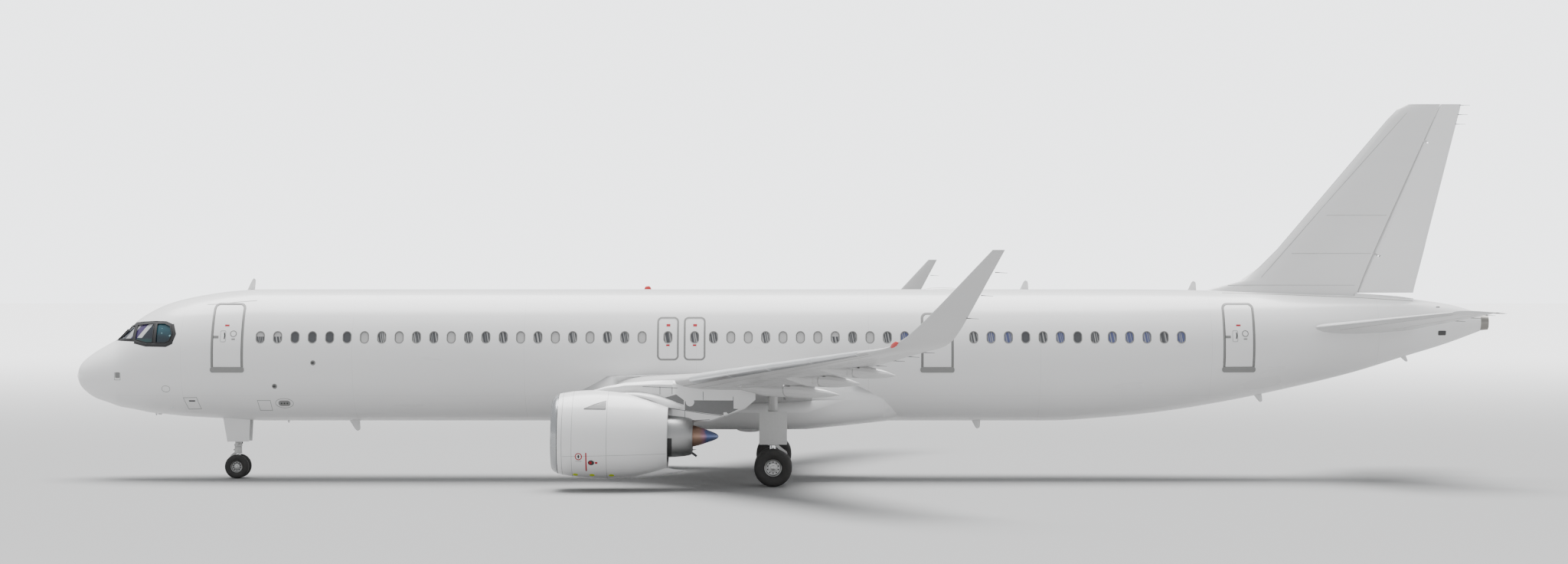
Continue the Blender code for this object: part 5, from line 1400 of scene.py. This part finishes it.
def make_winglet(side, word):
    root = WING[-1]
    chord = root[3] - root[1]
    rise = chord * math.tan(math.radians(-root[4]))
    rows = [(root[0] + FIT, root[1], root[2], root[3], root[2] + rise, 6)] + list(WINGLET)
    rings = []
    for span, lead_x, lead_z, trail_x, trail_z, lean in smooth_rows(rows, TURN_PITCH, 4):
        chord = math.hypot(trail_x - lead_x, trail_z - lead_z)
        ratio = lerp(root[5], WINGLET_RATIO, min(1.0, (span - root[0]) / 0.6))
        out = Vector((0, -side * math.sin(math.radians(lean)), math.cos(math.radians(lean))))
        lead, trail = Vector((lead_x, side * span, lead_z)), Vector((trail_x, side * span, trail_z))
        steps = [0.5 - 0.5 * math.cos(math.pi * k / 20) for k in range(21)]
        ring = [lead.lerp(trail, f) + out * chord * half_thickness(f, ratio) for f in reversed(steps)]
        ring += [lead.lerp(trail, f) - out * chord * half_thickness(f, ratio) for f in steps[1:]]
        rings.append(ring)
    finish("winglet_finish_" + word, solid(loft(bmesh.new(), rings)), WING_GREY, "airframe", ("winglet_" + word,),
           "grey_composite", 30)


def blade(bm, base, out, aft, chord, height, sweep, half=0.022, root=0.06):
    """A swept blade aerial with a rounded tip."""
    base, out, aft = Vector(base), Vector(out).normalized(), Vector(aft)
    across = out.cross(aft).normalized()
    rings = []
    for t in (0, 0.35, 0.7, 0.88, 0.97, 1.0):
        share = lerp(1, 0.40, t) * math.sqrt(max(0.02, 1 - max(0, (t - 0.8) / 0.2) ** 2))
        start = base + out * (lerp(-root, height, t)) + aft * (sweep * t + chord * (lerp(1, 0.40, t) - share) * 0.3)
        ring = []
        for u, v in arc(1, 0, 360, 14)[:-1]:
            ring.append(start + aft * chord * share * (0.5 + u / 2) + across * half * share * v * (1 - 0.4 * u))
        rings.append(ring)
    return loft(bm, rings)


def skin_line(x, face, lift=0.0):
    middle, tall, wide = section_at(x)
    return Vector((x, 0, middle + face * (tall + lift)))


def make_aerials():
    bm = bmesh.new()
    for x, face, chord, height, sweep in AERIALS:
        blade(bm, skin_line(x, face), (0, 0, face), (1, 0, 0), chord, height, sweep)
    x, half_length, half_width, height = DOME
    place = Matrix.Translation(skin_line(x, 1, -0.03)) @ Matrix.Diagonal((half_length, half_width, height, 1))
    bmesh.ops.create_uvsphere(bm, u_segments=48, v_segments=24, radius=1, matrix=place)
    finish("aerials", solid(bm), WHITE_PLAIN, slot="white_paint")
    rings = []
    for x, top, half in FIN_FOOT:
        low = skin_line(x, 1, -0.12).z
        rings.append([(x, half * 1.5, low), (x, half, top - 0.02), (x, half * 0.7, top),
                      (x, -half * 0.7, top), (x, -half, top - 0.02), (x, -half * 1.5, low)])
    finish("fin_foot", solid(loft(bmesh.new(), rings)), FIN_WHITE, slot="white_composite", sharp=50)
    pads = bmesh.new()
    foot = skin_line(NOSE_JACK_X, -1)
    rod(pads, foot + Vector((0, 0, 0.1)), foot - Vector((0, 0, 0.03)), 0.06)
    finish("nose_jack_pad", solid(pads), STEEL, slot="bare_metal")


def lamp_glass(bm, base, out, along, length, wide, height):
    """Half an egg of glass on a surface."""
    out, along = Vector(out).normalized(), Vector(along).normalized()
    turn = Matrix((along, out.cross(along), out)).transposed().to_4x4()
    place = Matrix.Translation(base) @ turn @ Matrix.Diagonal((length / 2, wide / 2, height, 1))
    bmesh.ops.create_uvsphere(bm, u_segments=24, v_segments=14, radius=1, matrix=place)
    return bm


def make_lights():
    reds, clears = bmesh.new(), bmesh.new()
    up, aft = Vector((0, 0, 1)), Vector((1, 0, 0))
    lamp_glass(reds, skin_line(18.0, 1), up, aft, 0.22, 0.12, 0.11)
    lamp_glass(reds, Vector((19.3, 0, -2.325)), -up, aft, 0.22, 0.12, 0.11)
    lamp_glass(clears, Vector((44.50, 0, 1.16)), aft, up, 0.10, 0.10, 0.05)
    for side, word in SIDES:
        lamp_glass(clears, skin_at(3.16, -1.62, side), skin_normals([skin_at(3.16, -1.62, side)])[0], aft, 0.10, 0.06, 0.03)
        point = WING_FOIL.point(2.45, 0.004, 0, side)
        lamp_glass(clears, point + Vector((0.02, side * 0.1, 0)), (-1, side * 0.4, 0), (0, side, 0), 0.5, 0.2, 0.08)
        nav = bmesh.new()
        lamp_glass(nav, Vector((25.18, side * 16.98, 0.66)), (-1, side * 0.9, 0.1), (0.8, side, 0.6), 0.34, 0.13, 0.05)
        finish("wing_tip_light_" + word, solid(nav), RED_LENS if side == LEFT else GREEN_LENS, slot="black_glass")
    finish("red_beacons", solid(reds), RED_LENS, slot="black_glass")
    finish("clear_lights", solid(clears), CLEAR_LENS, slot="black_glass")


def wick_unit():
    bm = rod(bmesh.new(), (0, 0, -0.02), (0, 0, 0.10), 0.012, 8, 0.009)
    return rod(bm, (0, 0, 0.10), (0, 0, 0.30), 0.007, 8, 0.005)


def make_wicks():
    """Thin static wicks that trail from the tips."""
    groups = {}
    for side, word in SIDES:
        out = Vector((1, 0, -0.06))
        groups["airframe"] = groups.get("airframe", []) + [
            (Vector((x, side * y, z)), out, (0, 1, 0)) for x, y, z in TIP_WICKS]
        groups["aileron_" + word] = [(WING_FOIL.point(span, 1, 0, side), out, (0, 1, 0)) for span in (13.4, 14.6, 15.8)]
        groups["flap_outer_" + word] = [(WING_FOIL.point(11.9, 1, 0, side), out, (0, 1, 0))]
        groups["elevator_" + word] = [(TAIL_FOIL.point(span, 1, 0, side), out, (0, 1, 0)) for span in (3.6, 4.6, 5.5)]
        groups.setdefault("tailplane", []).extend(
            (TAIL_FOIL.point(span, 1, 0, side), out, (0, 1, 0)) for span in (6.06, 6.18))
    groups["rudder"] = [(FIN_FOIL.point(z, 0.998, 0), Vector((1, 0, 0)), (0, 1, 0)) for z in (7.28, 7.58, 7.88)]
    for body, places in groups.items():
        repeated("wicks_" + body, wick_unit(), places, BLACK, body, slot="dark_metal")


def make_windscreen():
    for node, material, slot in (("windscreen_frame", DARK_FRAME, "black_frame"), ("windscreen_glass", GLASS, "black_glass")):
        piece = refined(node, "airframe", material, slot, 60)
        round_on_skin(piece.data, 0.8)
    wipers, seals = bmesh.new(), bmesh.new()
    for side, word in SIDES:
        at = side_of_skin(side)
        ribbon(wipers, at, [(1.40, 0.49), (1.62, 0.72), (1.70, 0.80)], 0.028, lift=0.03)
        ribbon(wipers, at, [(1.56, 0.60), (1.86, 0.90)], 0.022, lift=0.012)
        ribbon(seals, at, [(x + 0.01, z - 0.01) for x, z in GLASS_BAND[5:]], 0.10, lift=0.004)
        for nearest, outline in PANES:
            ribbon(seals, at, list(outline), 0.02, True, 0.004, 0.06)
    finish("wipers", solid(wipers), BLACK, slot="dark_metal")
    finish("pane_seals", solid(seals), SEAL, slot="black_frame")


def make_exhaust():
    place = Matrix.Translation((FUSELAGE[-1][0] + FIT, 0, APU_Z)) @ Matrix.Rotation(math.radians(90), 4, "Y")
    pipe = lathe(bmesh.new(), APU_PROFILE, place, 64)
    finish("apu_exhaust_finish", solid(pipe), APU_METAL, "airframe", ("apu_exhaust",), "dark_metal")


def make_slats():
    """Bright leading edges in separate slats, and the seams behind them."""
    slats, seams = bmesh.new(), bmesh.new()
    steps = [0.135 * (1 - k / 12) ** 2 for k in range(13)]
    for side, word in SIDES:
        for low, high in SLATS:
            rings = []
            for k in range(9):
                span = lerp(low, high, k / 8)
                outer = [(f, 1) for f in steps] + [(f, -1) for f in reversed(steps[5:-1])]
                ring = [WING_FOIL.point(span, f, face, side) + WING_FOIL.normal(span, f, face, side) * 0.006
                        for f, face in outer]
                ring += [WING_FOIL.point(span, f, face, side) - WING_FOIL.normal(span, f, face, side) * 0.012
                         for f, face in reversed(outer)]
                rings.append(ring)
            loft(slats, rings)
        for face, share in ((1, 0.141), (-1, 0.052)):
            at = WING_FOIL.at(side, face)
            path = [(WING_FOIL.point(span, share, face).x, span) for span in (2.4, 6.4, 11.3, 16.2)]
            ribbon(seams, at, path, 0.016, lift=0.003, pitch=0.5)
    finish("slats", solid(slats), SLAT_METAL, slot="bare_metal", sharp=40)
    finish("slat_seams", solid(seams), SEAM, slot="grey_paint", sharp=50)


def make_skin_lines():
    """Panel seams and walkway lines on the wings and the tail."""
    lines, panels, tails = bmesh.new(), bmesh.new(), bmesh.new()
    for side, word in SIDES:
        for face in (1, -1):
            at = WING_FOIL.at(side, face)
            for share, low, high in ((0.60, 2.6, 16.0), (0.16, 2.6, 16.0)):
                path = [(WING_FOIL.point(span, share, face).x, span) for span in (low, 6.4, high)]
                ribbon(lines, at, path, 0.010, lift=0.002, pitch=0.5)
            for span in (4.4, 6.4, 8.6, 10.8, 12.9, 14.6):
                path = [(WING_FOIL.point(span, share, face).x, span) for share in (0.16, 0.3, 0.45, 0.60)]
                ribbon(lines, at, path, 0.010, lift=0.002, pitch=0.3)
        at = WING_FOIL.at(side, -1)
        for k in range(14):
            span = 6.9 + 0.62 * k
            x = WING_FOIL.point(span, 0.36, -1).x
            ribbon(panels, at, ellipse(x, span, 0.42, 0.22, 16), 0.010, True, 0.002)
        at = TAIL_FOIL.at(side, 1)
        under = TAIL_FOIL.at(side, -1)
        for share in (0.10, 0.62):
            path = [(TAIL_FOIL.point(span, share, 1).x, span) for span in (1.9, 6.1)]
            ribbon(tails, at, path, 0.010, lift=0.002, pitch=0.4)
            ribbon(tails, under, path, 0.010, lift=0.002, pitch=0.4)
    for name, bm, node in (("wing_lines", lines, "fuselage"), ("tank_panels", panels, "fuselage"),
                           ("tailplane_lines", tails, "tailplane")):
        finish(name, solid(bm), SEAM, body_with(node), slot="grey_paint", sharp=50)
    fins = bmesh.new()
    for face in (1, -1):
        at = FIN_FOIL.at(RIGHT, face)
        for path in FIN_LINES:
            ribbon(fins, at, path, 0.012, lift=0.002, pitch=0.3)
    finish("fin_lines", solid(fins), SEAM, slot="grey_paint", sharp=50)


def body_with(node):
    return body_of(frame["nodes"][node])[0]


def tyre_profile(radius, bead, width):
    upper = ((bead, 0.70), (bead * 1.06, 0.82), (radius * 0.74, 0.99), (radius * 0.86, 0.97), (radius * 0.94, 0.85),
             (radius * 0.98, 0.66), (radius, 0.42))
    upper = [(r, share * width / 2) for r, share in upper]
    return upper + [(r, -t) for r, t in reversed(upper)]


def bolt_unit():
    bm = bmesh.new()
    bmesh.ops.create_cone(bm, cap_ends=True, segments=6, radius1=0.016, radius2=0.014, depth=0.03)
    return rod(bm, (0, 0, 0.01), (0, 0, 0.03), 0.007, 8)


def slot_unit():
    return patch(bmesh.new(), lambda x, z, lift: Vector((x, z, lift)), ellipse(0, 0, 0.035, 0.055, 12), 0.002, 0.01, 1)


def make_wheel(name, centre, radius, bead, width, offset, axle, barrel):
    """Two tyres and their rims on one axle, with tie bolts and cooling slots."""
    body = body_with(name + "_hubs")
    turn = Matrix.Rotation(math.radians(-90), 4, "X")
    place = Matrix.Translation(centre) @ turn
    outer, inner = offset + width * 0.35, offset - width * 0.35
    rim = bead * math.cos(math.pi / 24) - FIT
    profile = [(0.0, outer - 0.010), (axle * 0.8, outer - 0.010), (axle, outer - 0.020), (axle * 1.05, outer - 0.055),
               (axle * 1.8, outer - 0.060), (rim * 0.55, outer - 0.085), (rim * 0.78, outer - 0.080),
               (rim * 0.87, outer - 0.045), (rim * 0.91, outer - 0.006), (rim * 0.96, outer), (rim, outer - 0.012),
               (rim, inner), (rim * 0.93, inner), (axle * 1.7, barrel + CLEAR), (axle, barrel + CLEAR)]
    hubs = lathe(bmesh.new(), profile + [(r, -t) for r, t in reversed(profile)], place, 48)
    finish(name + "_rims", solid(hubs), HUB_METAL, body, (name + "_hubs",), "bare_metal", 40)
    bolts, slots = [], []
    for side, word in SIDES:
        middle = Matrix.Translation((centre[0], centre[1] + side * offset, centre[2])) @ turn
        tyre = lathe(bmesh.new(), tyre_profile(radius, bead, width), middle, TYRE_SIDES)
        node = name + "_tyre_" + word
        tyre = finish(node + "_finish", solid(tyre), RUBBER, body, (node,), "tyre_rubber", 60)
        along_axis(tyre.data, middle, -width / 2, width / 2)
        for number in range(10):
            for found, share, depth, half_step in ((bolts, 0.66, 0.075, 0), (slots, 0.64, 0.079, 0.5)):
                angle = 2 * math.pi * (number + half_step) / 10
                spoke = Vector((math.cos(angle), 0, math.sin(angle)))
                face = Vector((0, side * (outer - depth), 0))
                found.append((Vector(centre) + spoke * rim * share + face, (0, side, 0), spoke))
    repeated(name + "_bolts", bolt_unit(), bolts, STEEL, body, slot="bare_metal")
    repeated(name + "_slots", slot_unit(), slots, BLACK, body, slot="dark_metal")


def pipe(bm, path, radius, sides=10):
    """A thin pipe bent along a path."""
    path = [Vector(point) for point in smooth_rows(path, 0.05, 2)]
    rings = []
    for number, point in enumerate(path):
        along = (path[min(number + 1, len(path) - 1)] - path[max(number - 1, 0)]).normalized()
        across = along.cross(Vector((0.31, 0.93, 0.2))).normalized()
        other = along.cross(across)
        rings.append([point + across * u + other * v for u, v in arc(radius, 0, 360, sides)[:-1]])
    return loft(bm, rings)


def collar(bm, x, y, low, high, inside, outside):
    """A gland ring with eased edges round an upright strut."""
    ease = (outside - inside) * 0.3
    profile = [(inside, low), (outside - ease, low), (outside, low + ease), (outside, high - ease),
               (outside - ease, high), (inside, high)]
    return lathe(bm, profile, Matrix.Translation((x, y, 0)), 40)


def make_lamp(bm, lens, x, y, z, radius):
    """A round lamp that looks forward, with its lens."""
    place = Matrix.Translation((x, y, z)) @ Matrix.Rotation(math.radians(90), 4, "Y")
    lathe(bm, [(0.0, 0.13), (radius * 0.5, 0.12), (radius * 0.9, 0.06), (radius, 0.0), (radius, -0.03),
               (radius * 0.88, -0.03), (radius * 0.86, 0.0), (0.0, 0.02)], place, 32)
    lathe(lens, [(0.0, -0.025), (radius * 0.5, -0.02), (radius * 0.86, -0.005), (radius * 0.86, 0.01), (0.0, 0.01)],
          place, 32)


def make_gear():
    """Wheels, legs, polished struts, pipes, pins and lamps."""
    for wheel in WHEELS:
        make_wheel(*wheel)
    for node in ("main_leg_left", "main_leg_right", "nose_leg", "nose_fork"):
        refined(node, body_with(node), GEAR_PAINT, "gear_paint", 40)
    for side, word in SIDES:
        refined("nose_gear_door_" + word, "airframe", WHITE_PLAIN, "white_composite", 40)
    struts, glands, pipes, pins, lamps, lenses = [bmesh.new() for i in range(6)]
    for name, (x, y, z), radius, bead, width, offset, axle, barrel in WHEELS[1:]:
        side = LEFT if y < 0 else RIGHT
        rod(struts, (x, y, MAIN_LEG_BOTTOM + 0.01), (x, y, z + 0.13), 0.099, 40)
        collar(glands, x, y, MAIN_LEG_BOTTOM - 0.03, MAIN_LEG_BOTTOM + 0.09, 0.12, 0.165)
        collar(glands, x, y, MAIN_LEG_BOTTOM + 0.32, MAIN_LEG_BOTTOM + 0.38, 0.12, 0.158)
        collar(glands, x, y, -1.62, -1.55, 0.12, 0.16)
        for shift, reach in ((0.05, 0.155), (-0.05, 0.165)):
            pipe(pipes, [(x + shift, y - side * reach, -1.30), (x + shift, y - side * reach, -2.45),
                         (x + shift * 2, y - side * (reach + 0.10), -2.78), (x + shift * 2, y - side * 0.16, z + 0.02)], 0.014)
        knee = (MAIN_LEG_BOTTOM + 0.1 + z + 0.02) / 2
        for px, pz in ((x + 0.40, knee), (x + 0.12, MAIN_LEG_BOTTOM - 0.01), (x + 0.12, z + 0.09)):
            rod(pins, (px, y - 0.115, pz), (px, y + 0.115, pz), 0.032, 20)
    (x, y, z), barrel = WHEELS[0][1], WHEELS[0][7]
    fork = [bmesh.new() for i in range(3)]
    rod(fork[0], (x, 0, -3.07), (x, 0, z + 0.085), 0.074, 36)
    collar(fork[1], x, 0, -3.10, -3.04, 0.09, 0.125)
    knee = (NOSE_COLLAR_Z - 0.06 + z + 0.04) / 2
    for px, pz in ((x - 0.225, knee), (x - 0.13, -2.99)):
        rod(fork[2], (px, -0.06, pz), (px, 0.06, pz), 0.022, 16)
    body = body_with("nose_fork")
    for name, bm, material, slot in zip(("nose_strut", "nose_gland", "nose_pins"), fork, (OLEO, GEAR_PAINT, STEEL),
                                        ("bare_metal", "gear_paint", "bare_metal")):
        finish(name, solid(bm), material, body, slot=slot, sharp=40)
    collar(glands, x, 0, NOSE_COLLAR_Z + 0.01, NOSE_COLLAR_Z + 0.10, 0.08, 0.128)
    collar(glands, x, 0, -2.52, -2.46, 0.08, 0.118)
    for y in (-0.16, 0.16):
        make_lamp(lamps, lenses, x - 0.15, y, -2.60, 0.085)
        rod(glands, (x - 0.10, y * 0.9, -2.60), (x - 0.02, 0, -2.58), 0.025, 14)
        rod(glands, (x - 0.02, y * 0.5, -2.79), (x - 0.02, y * 1.4, -2.79), 0.045, 20)
        pipe(pipes, [(x + 0.09, y * 0.35, -1.95), (x + 0.115, y * 0.35, -2.30), (x + 0.125, y * 0.35, -2.80)], 0.011)
    for name, bm, material, slot in (
            ("main_struts", struts, OLEO, "bare_metal"), ("gear_glands", glands, GEAR_PAINT, "gear_paint"),
            ("gear_pipes", pipes, BLACK, "dark_metal"), ("gear_pins", pins, STEEL, "bare_metal"),
            ("gear_lamps", lamps, GEAR_PAINT, "gear_paint"), ("gear_lamp_lenses", lenses, CLEAR_LENS, "black_glass")):
        finish(name, solid(bm), material, slot=slot, sharp=40)


def stage():
    floor = bpy.data.meshes.new("floor")
    size = 400
    floor.from_pydata([(-size, -size, 0), (size, -size, 0), (size, size, 0), (-size, size, 0)], [], [(0, 1, 2, 3)])
    surface = Surface("floor_paint", (0.82, 0.82, 0.82), 0.9)
    distance = surface.node("ShaderNodeVectorMath", {"operation": "LENGTH"}, surface.place(), output="Value")
    # Painted shade: the floor is dark round the model and turns pale far away, which also dims the light the floor
    # throws onto the model's underside.
    surface.set(**{"Base Color": surface.mix(distance.step(12, 90), grey(0.30), grey(0.92))})
    floor.materials.append(surface.material)
    floor = bpy.data.objects.new("floor", floor)
    bpy.context.scene.collection.objects.link(floor)
    world = bpy.data.worlds.new("studio")
    bpy.context.scene.world = world
    world.use_nodes = True
    sky = world.node_tree.nodes["Background"]
    sky.inputs["Color"].default_value = (0.96, 0.98, 1, 1)
    eye = world.node_tree.nodes.new("ShaderNodeLightPath")
    shown = world.node_tree.nodes.new("ShaderNodeMapRange")
    shown.inputs["To Min"].default_value = 0.85
    shown.inputs["To Max"].default_value = 3.4
    world.node_tree.links.new(eye.outputs["Is Camera Ray"], shown.inputs["Value"])
    world.node_tree.links.new(shown.outputs["Result"], sky.inputs["Strength"])
    light = bpy.data.lights.new("overhead_light", "SUN")
    light.energy = 8.5
    light.angle = math.radians(50)
    lamp = bpy.data.objects.new("overhead_light", light)
    lamp.rotation_euler = (math.radians(-14), math.radians(-4), 0)
    bpy.context.scene.collection.objects.link(lamp)
    camera = bpy.data.cameras.new("camera")
    camera.lens = 71.47
    camera.sensor_width = 36
    camera.clip_end = 1000
    view = bpy.data.objects.new("camera", camera)
    view.location = (0.0225, -49.15, 3.09)
    view.rotation_euler = (math.radians(90), 0, 0)
    bpy.context.scene.collection.objects.link(view)
    bpy.context.scene.camera = view


stage()
make_fuselage()
make_windows()
make_side_marks()
make_engines()
make_surfaces()
make_aerials()
make_lights()
make_wicks()
make_windscreen()
make_exhaust()
make_slats()
make_skin_lines()
make_gear()
